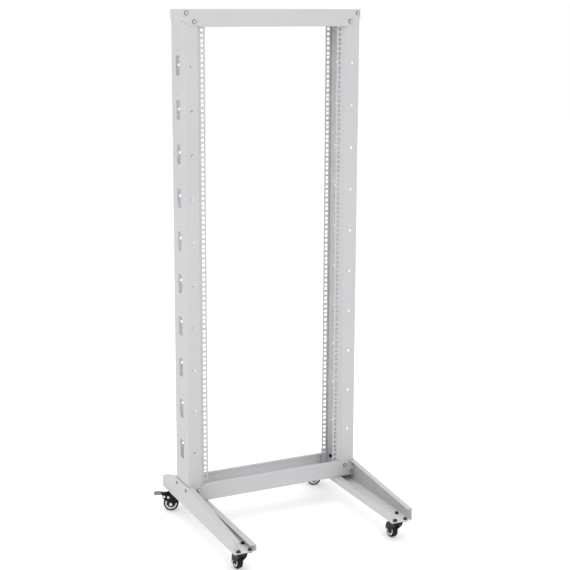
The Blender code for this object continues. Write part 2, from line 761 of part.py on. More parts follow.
def make_caster(corner, rack):
    x, y, angle = CASTERS[corner]
    braked = corner in BRAKED
    mount = add_empty(corner + "_caster", rack, (x, y, 0.0))
    swivel = add_empty(corner + "_swivel", mount, (0.0, 0.0, 0.0), angle)

    plate = add_object(corner + "_plate", plate_mesh(corner + "_plate"), "black_steel", mount)
    add_cutter(corner + "_fittings", plate_fittings(corner + "_fittings"), mount, "UNION", [plate])
    add_cutter(corner + "_bore", kingpin_bore(corner + "_bore"), mount, "DIFFERENCE", [plate])
    kingpin = turned(corner + "_kingpin", [
        (0.0, CROWN_BOTTOM_Z - GAP - KINGPIN_HEAD),
        (KINGPIN_HEAD_RADIUS, CROWN_BOTTOM_Z - GAP - KINGPIN_HEAD),
        (KINGPIN_HEAD_RADIUS, CROWN_BOTTOM_Z - GAP),
        (KINGPIN_RADIUS, CROWN_BOTTOM_Z - GAP),
        (KINGPIN_RADIUS, PLATE_TOP_Z),
        (0.0, PLATE_TOP_Z),
    ], KINGPIN_SIDES)
    add_object(corner + "_kingpin", kingpin, "zinc", mount)

    fork = add_object(corner + "_fork", fork_mesh(corner + "_fork"), "black_steel", swivel)
    add_cutter(corner + "_cheeks", cheeks_mesh(corner + "_cheeks", braked), swivel, "UNION", [fork])
    add_cutter(corner + "_fork_holes", fork_holes(corner + "_fork_holes", braked), swivel, "DIFFERENCE",
               [fork])

    wheel = add_empty(corner + "_wheel", swivel, (0.0, TRAIL, WHEEL_RADIUS))
    tread, rim = wheel_profiles()
    tyre = turned(corner + "_tyre", tread, TREAD_SIDES, ALONG_AXLE)
    add_object(corner + "_tyre", tyre, "tread", wheel)
    add_object(corner + "_rim", turned(corner + "_rim", rim, RIM_SIDES, ALONG_AXLE), "rim", wheel)
    bolt, nut = axle_meshes(corner)
    add_object(corner + "_axle", bolt, "zinc", wheel)
    add_object(corner + "_axle_nut", nut, "zinc", wheel)
    if braked:
        make_brake(corner, swivel)


# ---------------------------------------------------------------- the rack
def main():
    for thing in list(bpy.data.objects):
        bpy.data.objects.remove(thing, do_unlink=True)

    rack = add_empty("rack", None, (CENTRE_X, CENTRE_Y, 0.0))
    for side, side_name in SIDES:
        make_post(side_name + "_post", side, rack)
        make_foot(side_name + "_foot", side, rack)
    make_beams(rack)
    for beam, web_z, way in (("top", TOP_BEAM_Z, -1), ("bottom", LOW_BEAM_Z, 1)):
        make_beam_screws(beam, rack, [(x, web_z + way * depth, name) for x, depth, name in BEAM_SCREWS])
    make_foot_bolts(rack)
    for corner in CASTERS:
        make_caster(corner, rack)


main()
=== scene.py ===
import json
from math import atan2, copysign, cos, pi, radians, sin, sqrt, tan

import bmesh
import bpy
from mathutils import Matrix, Vector


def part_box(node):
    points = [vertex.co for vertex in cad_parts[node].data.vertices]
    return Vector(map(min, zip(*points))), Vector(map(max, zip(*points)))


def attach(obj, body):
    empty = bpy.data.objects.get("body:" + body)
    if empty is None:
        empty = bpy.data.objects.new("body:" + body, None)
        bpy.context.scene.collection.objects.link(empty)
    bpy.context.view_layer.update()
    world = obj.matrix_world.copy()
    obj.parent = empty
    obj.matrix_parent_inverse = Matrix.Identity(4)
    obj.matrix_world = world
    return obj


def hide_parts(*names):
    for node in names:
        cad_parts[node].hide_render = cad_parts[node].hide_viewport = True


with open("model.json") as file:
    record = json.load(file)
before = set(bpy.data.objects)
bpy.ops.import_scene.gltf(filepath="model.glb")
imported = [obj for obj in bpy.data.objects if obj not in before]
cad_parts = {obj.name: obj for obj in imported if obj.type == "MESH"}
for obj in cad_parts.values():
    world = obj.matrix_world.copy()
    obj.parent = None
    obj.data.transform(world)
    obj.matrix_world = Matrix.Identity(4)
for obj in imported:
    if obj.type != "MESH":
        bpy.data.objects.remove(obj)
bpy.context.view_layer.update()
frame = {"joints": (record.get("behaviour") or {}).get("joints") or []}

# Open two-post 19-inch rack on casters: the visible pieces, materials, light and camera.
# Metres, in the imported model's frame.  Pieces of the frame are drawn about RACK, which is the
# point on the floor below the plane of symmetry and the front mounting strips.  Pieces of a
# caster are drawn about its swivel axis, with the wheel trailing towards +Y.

# ---------- driving dimensions
GAP = 0.0003
UNIT = 0.04445
UNITS = 32
HOLE_STEPS = (0.00635, 0.022225, 0.0381)
HOLE_SIDE = 0.0095
HOLE_COLUMN_X = 0.23255

SHEET = 0.002
BEAM_SHEET = 0.0015
BEND = 0.0012                 # inside radius of a sheet-metal bend
BEND_STEPS = 4
EDGE = 0.00025                # break on a sheared edge
BEAM_EDGE = 0.0002
STEEL_EDGE = 0.0004           # rounding of the casters' pressed steel
SHOE_EDGE = 0.0003
CUT_PAST = 0.01               # how far a cut runs past the sheet it opens

STRIP_INNER_X = 0.2234
STRIP_OUTER_X = 0.2405
JOG_X = 0.2515
STRIP_RECESS = 0.012
STRIP_SPACING = 0.078
SLOT_WIDTH = 0.031
SLOT_HEIGHT = 0.06
SLOT_CORNER = 0.006
SLOT_FIRST_UNIT = 2.5
SLOT_PITCH_UNITS = 3
SLOT_COUNT = 10
SIDE_DOT = 0.0295             # small holes beside a slot, from its centre
UPPER_DOT = 0.0103            # small pair one unit above a slot
DOT_RADIUS = 0.0021
FLANGE_HOLE_X = 0.2723
FLANGE_HOLE_RADIUS = 0.0043

BEAM_HEIGHT = 0.0525
BEAM_LIP = 0.0138
WALL_END_X = 0.246
TAB_START_X = 0.25
TAB_STEP = 0.0034
TAB_CHAMFER_X = 0.278
END_WALL_HEIGHT = 0.0292
CAVITY_BEND = 0.0008
SEAM_HALF = 0.00018           # half the width of the open seams at a beam's corners
SEAM_TOP = 0.0032
SEAM_REACH = 0.001
BEAM_SCREWS = ((0.2873, 0.012, "outer"), (0.2618, 0.037, "inner"))

FOOT_WIDTH = 0.072
FOOT_FRONT = 0.376
FOOT_REAR = 0.208
FOOT_END_HEIGHT = 0.0393
FOOT_TOP_HEIGHT = 0.075
FOOT_TOP_LIP = 0.018
FOOT_INNER_HEIGHT = 0.0215
FOOT_INNER_LIP = 0.021
FOOT_BOLT_BELOW_UNITS = 0.0152
WELL_HEIGHT = 0.1             # of the space cleared in a foot for the post and the beam

SHANK_RADIUS = 0.0029
SHANK_HOLE_RADIUS = 0.0034
SCREW_HEAD_RADIUS = 0.0066
SCREW_HEAD_HEIGHT = 0.0034
FOOT_HEAD_RADIUS = 0.005
FOOT_HEAD_HEIGHT = 0.0029
HEAD_RIM = 0.0004             # straight part below the dome of a screw head
RECESS_DEPTH = 0.0021
RECESS_TURN = 36.0            # degrees
HEX_RADIUS = 0.0058
HEX_FLAT = HEX_RADIUS * cos(pi / 6)
HEX_CHAMFER = 0.0006
NUT_HEIGHT = 0.0048
PLATE_NUT_HEIGHT = 0.0058
NUT_TURN = 17.0               # degrees; each nut has its own
NUT_TURN_STEP = 23.0
BOLT_TIP = 0.0008             # how far a bolt stands out of its nut
BOLT_CHAMFER = 0.0004
WASHER_RADIUS = 0.0062
WASHER = 0.0008

CASTER_HEIGHT = 0.07
PLATE_SIZE = (0.05, 0.066, 0.002)
PLATE_CORNER = 0.005
PLATE_BOLTS = (0.035, 0.05)
RACE_RADIUS = 0.02
RACE_HEIGHT = 0.0045
RACE_BULGE = (                # share of the radius, height above the lowest ring
    (0.5, 0.0014), (0.62, 0.0004), (0.74, 0.0), (0.88, 0.0004), (0.97, 0.0018),
)
KINGPIN_RADIUS = 0.005
KINGPIN_HEAD_RADIUS = 0.0085
KINGPIN_HEAD = (              # share of the radius, depth below the crown
    (0.0, 0.0018), (0.55, 0.0018), (0.9, 0.0013), (1.0, 0.0006), (1.0, 0.0),
)
KINGPIN_BORE = KINGPIN_RADIUS + 2 * GAP
CROWN_RADIUS = 0.023
CROWN_HEIGHT = 0.0035
CROWN_FLAT_RADIUS = CROWN_RADIUS - 0.003
TRAIL = 0.025
WHEEL_RADIUS = 0.025
TREAD_WIDTH = 0.018
TREAD_CORNER = 0.0034
RIM_RADIUS = 0.019
HUB_RADIUS = 0.0072
RIBS = 6
RIB_HALF = 0.0007
FORK_INNER = 0.0115
FORK_SHEET = 0.0025
BOSS_RADIUS = 0.009
FLARE_HEIGHT = 0.0105         # the cheeks flare out over this height below the crown
FLARE_POWER = 1.6
FLARE_RISE = 0.0015           # spacing of the cuts that let a cheek bend, upward
FLARE_STEP = 0.0026           # and along it
SKIRT_DROP = 0.0085
AXLE_RADIUS = 0.003
AXLE_HEAD = 0.0034
COLLAR_RADIUS = 0.0046
BRAKE_PIVOT = (0.0468, 0.0502)
SECOND_RIVET = (0.0332, 0.048)
RIVET_RADIUS = 0.0041
RIVET_SHANK = 0.0021
RIVET_HEAD = 0.0015
LEVER_WALL = 0.0018
SHOE_INSET = 0.0022
PEDAL_REACH = 0.081
PEDAL_END = 0.006             # solid end of the pedal, behind the lever's tongue
PEDAL_SOCKET = 0.018
PEDAL_WIDTH = 0.024
PEDAL_GROOVES = 6
GROOVE_PITCH = 0.0031
GROOVE_HALF = 0.0007

# ---------- driving colours and light
COAT_SHADES = ((0.5, 0.494, 0.508), (0.53, 0.525, 0.536))
COAT_RUBBED = (0.465, 0.465, 0.47, 1.0)
# painted light: the coat inside the channels is drawn this much lighter, standing in for fill
# light
INSIDE_PAINTED_LIGHT = 1.42         # the coat inside the channels, against outside
FLOOR_SHADES = ((0.94, 0.94, 0.942), (0.95, 0.949, 0.947))
# painted shade for the screws' head edges, recesses and inside parts
SCREW_PAINTED_SHADE = (0.065, 0.072, 0.082, 1.0)
# painted shade in the rim's recess round the hub
RIM_PAINTED_SHADE = (0.06, 0.048, 0.036, 1.0)
WHITE = (1.0, 1.0, 1.0, 1.0)
WORLD_LIGHT = 0.97
FLOOR_GLOW = 0.2
FLOOR_REACH = 12.0
AIM_Z = 0.85                  # the softboxes point at this height
SOFTBOXES = (                 # name, place, side, watts
    ("overhead", (-0.6, -0.3, 4.4), 3.0, 40.0),
    ("key", (-3.3, -1.0, 2.1), 2.4, 4.0),
    ("fill", (-2.0, -4.3, 1.9), 1.2, 12.0),
)
EXPOSURE = 0.05
CAMERA_FROM_RACK = (-1.6344, -3.4179)
CAMERA_ABOVE_UNITS = 0.043
CAMERA_DOWN = 10.382          # degrees
CAMERA_RIGHT = 24.92          # degrees
CAMERA_SENSOR = 36.0
CAMERA_LENS = 77.58
CAMERA_SHIFT = (0.0459, -0.0823)
CAMERA_REACH = 60.0

# ---------- places, from the frame
post_low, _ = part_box("left_post")
_, post_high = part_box("right_post")
foot_low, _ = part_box("left_foot")
_, beam_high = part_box("top_beam")
RACK = Vector(((post_low[0] + post_high[0]) / 2, post_low[1] + STRIP_RECESS, 0.0))
POST_OUTER_X = post_high[0] - RACK.x
POST_BOTTOM_Z = post_low[2]
POST_TOP_Z = post_high[2]
FOOT_BOTTOM_Z = foot_low[2]
FOOT_OUTER_X = RACK.x - foot_low[0]
TOP_BEAM_Z = beam_high[2]
LOW_BEAM_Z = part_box("bottom_beam")[0][2]
UNITS_BOTTOM_Z = LOW_BEAM_Z + BEAM_HEIGHT
UNITS_TOP_Z = UNITS_BOTTOM_Z + UNITS * UNIT
BEAM_END_X = beam_high[0] - RACK.x
POST_FRONT_Y = -STRIP_RECESS
POST_REAR_Y = STRIP_SPACING + STRIP_RECESS
MID_Y = STRIP_SPACING / 2
BEAM_FRONT_Y = POST_FRONT_Y - GAP - BEAM_SHEET
BEAM_REAR_Y = POST_REAR_Y + GAP + BEAM_SHEET
FOOT_WALL_X = FOOT_OUTER_X - SHEET
FOOT_BOLT_Z = UNITS_BOTTOM_Z - FOOT_BOLT_BELOW_UNITS
TOP_WEB_HOLE_Z = POST_TOP_Z - (FOOT_BOLT_Z - POST_BOTTOM_Z)
FOOT_BOLT_YS = (0.0, STRIP_SPACING)
PLATE_TOP_Z = CASTER_HEIGHT - GAP
PLATE_BOTTOM_Z = PLATE_TOP_Z - PLATE_SIZE[2]
RACE_BOTTOM_Z = PLATE_BOTTOM_Z - RACE_HEIGHT
CROWN_TOP_Z = RACE_BOTTOM_Z - GAP
CROWN_BOTTOM_Z = CROWN_TOP_Z - CROWN_HEIGHT
FLARE_START_Z = CROWN_BOTTOM_Z - FLARE_HEIGHT
CHEEK_FACE_X = FORK_INNER + FORK_SHEET
INSIDE_SKIN = SHEET / 3       # the inside starts this far below a sheet's outer face
BEAM_SKIN = BEAM_SHEET / 3
INSIDE_FADE = SHEET / 4
SIDES = ((-1, "left"), (1, "right"))
JOINT_AT = {joint["name"]: Vector(joint["pos_m"]) for joint in frame["joints"]}
CASTERS = {}                  # place of the swivel axis on the floor, and turn about it
for corner in ("front_left", "front_right", "rear_left", "rear_right"):
    swivel = JOINT_AT[corner + "_swivel_turn"]
    trail = JOINT_AT[corner + "_wheel_roll"] - swivel
    CASTERS[corner] = (swivel.x, swivel.y, atan2(-trail.x, trail.y))
UPRIGHT = Matrix.Identity(4)
UPSIDE_DOWN = Matrix.Rotation(pi, 4, "X")
ALONG_AXLE = Matrix.Rotation(pi / 2, 4, "Y")
AT_RACK = Matrix.Translation(RACK)


# ---------- material helpers
class Look:
    """A node material under construction, with Object coordinates in metres."""

    def __init__(self, name, roughness, metallic=0.0, **sockets):
        self.material = bpy.data.materials.new(name)
        self.material.use_nodes = True
        self.tree = self.material.node_tree
        self.shader = self.tree.nodes["Principled BSDF"]
        self.feed(self.shader, Roughness=roughness, Metallic=metallic, **sockets)
        self.where = self.tree.nodes.new("ShaderNodeTexCoord").outputs["Object"]
        self.bump = None

    def give(self, value, socket):
        """Link a value to a socket, or set it there where it is a plain one."""
        if isinstance(value, bpy.types.NodeSocket):
            self.tree.links.new(value, socket)
        else:
            socket.default_value = value

    def feed(self, node, **values):
        """Give values to a node's inputs by name, with _ for a space."""
        for name, value in values.items():
            self.give(value, node.inputs[name.replace("_", " ")])
        return node

    def add(self, kind, **values):
        return self.feed(self.tree.nodes.new("ShaderNode" + kind), **values)

    def noise(self, scale, detail, rough=0.55, distortion=0.0, vector=None):
        node = self.add("TexNoise", Vector=vector or self.where, Scale=scale, Detail=detail,
                        Roughness=rough, Distortion=distortion)
        return node.outputs["Fac"]

    def stretched(self, scale):
        """Coordinates scaled differently along each axis."""
        return self.add("Mapping", Vector=self.where, Scale=scale).outputs["Vector"]

    def axes(self):
        """The X, Y and Z coordinates, one by one."""
        return list(self.add("SeparateXYZ", Vector=self.where).outputs)

    def calculate(self, operation, *values):
        """One arithmetic step."""
        node = self.add("Math")
        node.operation = operation
        for socket, value in zip(node.inputs, values):
            self.give(value, socket)
        return node.outputs["Value"]

    def distance(self, scale):
        """Distance from the object's origin, along the axes that scale keeps."""
        node = self.add("VectorMath")
        node.operation = "LENGTH"
        self.give(self.stretched(scale), node.inputs[0])
        return node.outputs["Value"]

    def ramp(self, value, *stops):
        node = self.add("ValToRGB", Fac=value)
        elements = node.color_ramp.elements
        for element, (place, colour) in zip(elements, stops):
            element.position = place
            element.color = (*colour, 1.0)
        return node.outputs["Color"]

    def spread(self, value, low, high, start=0.25, end=0.75):
        """Map a value's range from start to end onto low to high."""
        node = self.add("MapRange", Value=value, From_Min=start, From_Max=end, To_Min=low,
                        To_Max=high)
        return node.outputs["Result"]

    def blend(self, factor, first, second, mode="MIX"):
        """Mix two colours."""
        node = self.add("Mix")
        node.data_type = "RGBA"
        node.blend_type = mode
        for name, value in (("Factor", factor), ("A", first), ("B", second)):
            self.give(value, [s for s in node.inputs if s.name == name and s.enabled][0])
        return [s for s in node.outputs if s.enabled][0]

    def colour(self, value):
        self.feed(self.shader, Base_Color=value)

    def rough(self, value):
        self.feed(self.shader, Roughness=value)

    def relief(self, height, distance, strength):
        """Add one layer of bump on top of those already there."""
        node = self.add("Bump", Height=height, Distance=distance, Strength=strength)
        if self.bump:
            self.feed(node, Normal=self.bump)
        self.bump = node.outputs["Normal"]
        self.feed(self.shader, Normal=self.bump)


def powder_coat(name, inside):
    """Light grey powder coat: fine orange peel, faint cloudiness and a few rub marks.

    Faces within the inside box are painted a lighter grey: painted fill light that brightens the
    shaded insides of the channels.
    The box gives low and high ends of the distance from the middle, of Y and of Z.
    """
    look = Look(name, 0.5, Specular_IOR_Level=0.42)
    cloud = look.ramp(look.noise(2.3, 4.0), (0.3, COAT_SHADES[0]), (0.72, COAT_SHADES[1]))
    speckle = look.spread(look.noise(900.0, 2.0), 0.965, 1.02, 0.3, 0.7)
    fine = look.blend(1.0, cloud, speckle, "MULTIPLY")
    rub = look.spread(look.noise(26.0, 6.0, 0.62, 1.4), 0.0, 0.35, 0.66, 0.78)
    handled = look.blend(rub, fine, COAT_RUBBED)
    x, y, z = look.axes()
    # Painted light: this mask is one inside the box, where the coat is drawn lighter in place of
    # fill light.
    painted_light_mask = 1.0
    for place, (low, high) in zip((look.calculate("ABSOLUTE", x), y, z), inside):
        above = look.spread(place, 0.0, 1.0, low, low + INSIDE_FADE)
        below = look.spread(place, 1.0, 0.0, high - INSIDE_FADE, high)
        painted_light_mask = look.calculate("MULTIPLY", above, painted_light_mask)
        painted_light_mask = look.calculate("MULTIPLY", below, painted_light_mask)
    lighter_tone = look.blend(1.0, fine, (*[INSIDE_PAINTED_LIGHT] * 3, 1.0), "MULTIPLY")
    look.colour(look.blend(painted_light_mask, handled, lighter_tone))
    look.rough(look.spread(look.noise(55.0, 4.0), 0.44, 0.6))
    look.relief(look.noise(620.0, 2.0, 0.5), 0.00022, 0.3)
    look.relief(look.noise(9.0, 2.0), 0.0012, 0.1)
    return look.material


def bright_zinc(name, tint, dark=0.0):
    """Plated steel with drawn streaks, small stains and a slightly uneven shine."""
    look = Look(name, 0.26, 1.0)
    low = tuple(c * (0.72 - dark) for c in tint)
    stain = look.noise(260.0, 5.0, 0.6, 0.6)
    look.colour(look.ramp(stain, (0.3, low), (0.62, tint)))
    look.rough(look.spread(look.noise(700.0, 4.0), 0.17, 0.4))
    drawn = look.noise(1600.0, 3.0, 0.6, 0.0, look.stretched((1.0, 1.0, 0.12)))
    look.relief(drawn, 0.00006, 0.35)
    return look.material


def screw_zinc(name, tint, radius, height):
    """Plated screw: stained bright crown, with painted shade round the head's edge, in its recess
    and on the shank and nut inside.
    """
    look = Look(name, 0.26, 1.0)
    stain = look.noise(420.0, 5.0, 0.6, 0.6)
    crown = look.ramp(stain, (0.3, tuple(c * 0.6 for c in tint)), (0.6, tint))
    out = look.distance((1.0, 1.0, 0.0))
    up = look.distance((0.0, 0.0, 1.0))
    # Painted shade: the masks below darken the head's edge, its recess and the inside parts, where
    # shade falls.
    ragged = look.calculate("MULTIPLY_ADD", stain, radius * 0.4, out)
    edge = look.spread(ragged, 0.0, 1.0, radius * 0.84, radius)
    inside = look.spread(look.axes()[2], 1.0, 0.0, -0.001, 0.0005)
    near = look.spread(out, 1.0, 0.0, radius * 0.38, radius * 0.44)
    sunk = look.spread(up, 1.0, 0.0, height * 0.66, height * 0.78)
    recess = look.calculate("MULTIPLY", near, sunk)
    dark = look.calculate("MAXIMUM", look.calculate("MAXIMUM", edge, recess), inside)
    look.colour(look.blend(dark, crown, SCREW_PAINTED_SHADE))
    look.rough(look.spread(look.noise(900.0, 4.0), 0.16, 0.38))
    look.relief(look.noise(1600.0, 3.0, 0.6), 0.00005, 0.3)
    return look.material


def black_steel():
    """Black coated pressed steel with a satin skin, dusty in patches."""
    look = Look("black_steel", 0.38, Specular_IOR_Level=0.12)
    dust = look.noise(70.0, 6.0, 0.62, 0.8)
    look.colour(look.ramp(dust, (0.42, (0.006, 0.006, 0.007)), (0.8, (0.02, 0.019, 0.018))))
    look.rough(look.spread(look.noise(160.0, 4.0), 0.28, 0.5))
    look.relief(look.noise(900.0, 2.0), 0.00012, 0.3)
    return look.material


def tread_rubber():
    """Matt black tread, scuffed to a brownish grey where it rolls."""
    look = Look("tread_rubber", 0.62, Specular_IOR_Level=0.12)
    scuff = look.noise(340.0, 5.0, 0.65, 0.5, look.stretched((1.0, 0.35, 1.0)))
    look.colour(look.ramp(scuff, (0.38, (0.007, 0.006, 0.006)), (0.74, (0.026, 0.023, 0.02))))
    look.rough(look.spread(scuff, 0.48, 0.78))
    look.relief(look.noise(1100.0, 4.0), 0.00015, 0.4)
    return look.material


def rim_plastic():
    """Cream moulded plastic, darkened by painted shade in the recess round the hub."""
    look = Look("rim_cream", 0.38, Specular_IOR_Level=0.4)
    mottle = look.noise(120.0, 5.0, 0.6, 0.6)
    lighter_tone = look.ramp(mottle, (0.34, (0.74, 0.725, 0.65)), (0.56, (0.9, 0.89, 0.83)))
    # Painted shade: the recess round the hub is darkened where its shadow falls.
    ragged = look.calculate("MULTIPLY_ADD", mottle, 0.0035, look.distance((0.0, 1.0, 1.0)))
    recess_shade_mask = look.spread(ragged, 1.0, 0.0, RIM_RADIUS - 0.0034, RIM_RADIUS - 0.0022)
    look.colour(look.blend(recess_shade_mask, lighter_tone, RIM_PAINTED_SHADE))
    look.rough(look.spread(look.noise(420.0, 3.0), 0.3, 0.48))
    look.relief(look.noise(800.0, 2.0), 0.0001, 0.22)
    return look.material


def pedal_plastic():
    """Dark grey moulded plastic with a fine spark-eroded grain, rubbed paler by shoes."""
    look = Look("pedal_grey", 0.52, Specular_IOR_Level=0.45)
    rubbed = look.noise(95.0, 5.0, 0.62, 0.9)
    look.colour(look.ramp(rubbed, (0.4, (0.15, 0.15, 0.153)), (0.72, (0.275, 0.272, 0.268))))
    look.rough(look.spread(look.noise(300.0, 3.0), 0.42, 0.64))
    look.relief(look.noise(1500.0, 2.0), 0.00012, 0.45)
    return look.material


def floor_white():
    """A white studio sweep that glows a little, like a lit table."""
    look = Look("floor_pale", 0.7, Specular_IOR_Level=0.2, Emission_Strength=FLOOR_GLOW,
                Emission_Color=WHITE)
    cloud = look.noise(1.1, 2.0)
    look.colour(look.ramp(cloud, (0.3, FLOOR_SHADES[0]), (0.7, FLOOR_SHADES[1])))
    return look.material


# Each box below marks where the coat gets its painted fill light.
POST_COAT = powder_coat("powder_coat_post", (
    (JOG_X, POST_OUTER_X - INSIDE_SKIN),
    (POST_FRONT_Y + INSIDE_SKIN, POST_REAR_Y - INSIDE_SKIN),
    (0.0, TOP_BEAM_Z),
))
BEAM_COAT = powder_coat("powder_coat_beam", (
    (-SHEET, BEAM_END_X - BEAM_SKIN),
    (BEAM_FRONT_Y + BEAM_SKIN, BEAM_REAR_Y - BEAM_SKIN),
    (-BEAM_HEIGHT + BEAM_SKIN, -BEAM_SKIN),
))
FOOT_COAT = powder_coat("powder_coat_foot", (
    (FOOT_OUTER_X - FOOT_WIDTH + INSIDE_SKIN, FOOT_WALL_X - INSIDE_SKIN),
    (-FOOT_FRONT, FOOT_REAR),
    (FOOT_BOTTOM_Z + INSIDE_SKIN, FOOT_BOTTOM_Z + FOOT_INNER_HEIGHT - INSIDE_SKIN),
))
ZINC = bright_zinc("bright_zinc", (0.8, 0.82, 0.84))
BLUE_ZINC = bright_zinc("blue_zinc", (0.66, 0.76, 0.82))
DARK_ZINC = bright_zinc("dark_zinc", (0.075, 0.085, 0.1), 0.3)
BEAM_SCREW_ZINC = screw_zinc("beam_screw_zinc", (0.86, 0.88, 0.86),
                             SCREW_HEAD_RADIUS, SCREW_HEAD_HEIGHT)
FOOT_BOLT_ZINC = screw_zinc("foot_bolt_zinc", (0.5, 0.54, 0.58),
                            FOOT_HEAD_RADIUS, FOOT_HEAD_HEIGHT)
BLACK = black_steel()
TREAD = tread_rubber()
RIM = rim_plastic()
PEDAL = pedal_plastic()


# ---------- outlines
def arc(centre, radius, start, end, steps):
    """Points of an arc, in degrees, both ends included."""
    points = []
    for i in range(steps + 1):
        angle = radians(start + (end - start) * i / steps)
        points.append((centre[0] + radius * cos(angle), centre[1] + radius * sin(angle)))
    return points


def circle(centre, radius, sides=24):
    return arc(centre, radius, 0.0, 360.0 * (sides - 1) / sides, sides - 1)


def rounded_rectangle(centre, width, height, radius, steps=4):
    """Corner arcs of a rectangle, counter-clockwise."""
    points = []
    half_w = width / 2 - radius
    half_h = height / 2 - radius
    for i, (sx, sy) in enumerate(((1, 1), (-1, 1), (-1, -1), (1, -1))):
        corner = (centre[0] + sx * half_w, centre[1] + sy * half_h)
        points += arc(corner, radius, 90.0 * i, 90.0 * i + 90.0, steps)
    return points


def filleted(path, radius):
    """An open path with its inner corners replaced by arcs."""
    points = [Vector(path[0])]
    for before, here, after in zip(path, path[1:], path[2:]):
        corner = Vector(here)
        back = (Vector(before) - corner).normalized()
        ahead = (Vector(after) - corner).normalized()
        half = back.angle(ahead) / 2
        reach = radius / tan(half)
        middle = corner + (back + ahead).normalized() * (radius / sin(half))
        first = corner + back * reach - middle
        last = corner + ahead * reach - middle
        turn = first.angle_signed(last)
        for i in range(BEND_STEPS + 1):
            points.append(middle + Matrix.Rotation(-turn * i / BEND_STEPS, 2) @ first)
    points.append(Vector(path[-1]))
    return points


def offset_path(path, distance):
    """The path moved to its left by a distance, with mitred corners."""
    moved = []
    for i, point in enumerate(path):
        here = Vector(point)
        normals = []
        if i > 0:
            step = (here - Vector(path[i - 1])).normalized()
            normals.append(Vector((-step.y, step.x)))
        if i < len(path) - 1:
            step = (Vector(path[i + 1]) - here).normalized()
            normals.append(Vector((-step.y, step.x)))
        mitre = sum(normals, Vector((0.0, 0.0))).normalized()
        moved.append(here + mitre * (distance / mitre.dot(normals[0])))
    return moved


def sheet_outline(middle, thickness):
    """The closed section of a bent sheet whose mid-line follows a path."""
    line = filleted(middle, BEND + thickness / 2)
    return offset_path(line, thickness / 2) + offset_path(line, -thickness / 2)[::-1]


# ---------- mesh helpers
def place_point(axis, pair, along):
    a, b = pair
    return {"x": (along, a, b), "y": (a, along, b), "z": (a, b, along)}[axis]


def add_loft(bm, sections, axis):
    """A closed body through sections given as (place along the axis, outline)."""
    rings = []
    for along, outline in sections:
        rings.append([bm.verts.new(place_point(axis, pair, along)) for pair in outline])
    bm.faces.new(rings[0])
    bm.faces.new(rings[-1][::-1])
    count = len(rings[0])
    for ring, other in zip(rings, rings[1:]):
        for i in range(count):
            j = (i + 1) % count
            bm.faces.new((ring[j], ring[i], other[i], other[j]))


def add_prism(bm, outline, axis, low, high):
    add_loft(bm, [(low, outline), (high, outline)], axis)


def prism(outline, axis, low, high):
    bm = bmesh.new()
    add_prism(bm, outline, axis, low, high)
    return bm


def add_box(bm, low, high, radius=0.0, keep=None, steps=3):
    """An upright box; edges whose ends keep() accepts are rounded by the radius."""
    outline = [(low[0], low[1]), (high[0], low[1]), (high[0], high[1]), (low[0], high[1])]
    before = set(bm.edges)
    add_prism(bm, outline, "z", low[2], high[2])
    if radius:
        chosen = [e for e in bm.edges if e not in before and keep(*(v.co for v in e.verts))]
        bmesh.ops.bevel(bm, geom=chosen, offset=radius, segments=steps, profile=0.5,
                        affect="EDGES", offset_type="OFFSET")


def add_turned(bm, profile, matrix, sides):
    """Turn a (radius, along) profile about the matrix's Z axis.

    A profile that doesn't start on the axis is closed on itself.
    """
    rings = []
    start = pi / sides
    for radius, along in profile:
        if radius == 0.0:
            rings.append([bm.verts.new(matrix @ Vector((0.0, 0.0, along)))])
            continue
        ring = []
        for i in range(sides):
            angle = start + 2 * pi * i / sides
            place = Vector((radius * cos(angle), radius * sin(angle), along))
            ring.append(bm.verts.new(matrix @ place))
        rings.append(ring)
    pairs = list(zip(rings, rings[1:]))
    if profile[0][0] > 0.0:
        pairs.append((rings[-1], rings[0]))
    for ring, other in pairs:
        for i in range(sides):
            j = (i + 1) % sides
            corners = [line[k % len(line)]
                       for line, k in ((ring, i), (ring, j), (other, j), (other, i))]
            bm.faces.new(list(dict.fromkeys(corners)))


def add_cylinder(bm, matrix, radius, low, high, sides):
    add_turned(bm, [(0.0, low), (radius, low), (radius, high), (0.0, high)], matrix, sides)


def mirrored(profile):
    """A (radius, along) profile, followed by its reflection across the axis."""
    return profile + [(radius, -along) for radius, along in reversed(profile)]


def add_to_scene(name, data):
    thing = bpy.data.objects.new(name, data)
    bpy.context.scene.collection.objects.link(thing)
    return thing


def add_piece(name, bm):
    """An object made from a finished bmesh, with its faces turned outward."""
    bmesh.ops.recalc_face_normals(bm, faces=bm.faces)
    mesh = bpy.data.meshes.new(name)
    bm.to_mesh(mesh)
    bm.free()
    return add_to_scene(name, mesh)


def settle(thing):
    """Apply the object's modifiers."""
    depsgraph = bpy.context.evaluated_depsgraph_get()
    mesh = bpy.data.meshes.new_from_object(thing.evaluated_get(depsgraph))
    thing.modifiers.clear()
    thing.data = mesh
    mesh.name = thing.name


def carve(thing, tools, operation="DIFFERENCE"):
    """Boolean the object with each tool mesh in turn, then drop the tools."""
    helpers = []
    for bm in tools:
        tool = add_piece("tool", bm)
        modifier = thing.modifiers.new("carve", "BOOLEAN")
        modifier.operation = operation
        modifier.solver = "EXACT"
        modifier.object = tool
        helpers.append(tool)
    settle(thing)
    for tool in helpers:
        bpy.data.objects.remove(tool, do_unlink=True)


def soften(thing, width, segments=1, angle=50.0):
    """Break the sharp edges with a small bevel."""
    modifier = thing.modifiers.new("edges", "BEVEL")
    modifier.width = width
    modifier.segments = segments
    modifier.limit_method = "ANGLE"
    modifier.angle_limit = radians(angle)
    modifier.use_clamp_overlap = True
    settle(thing)


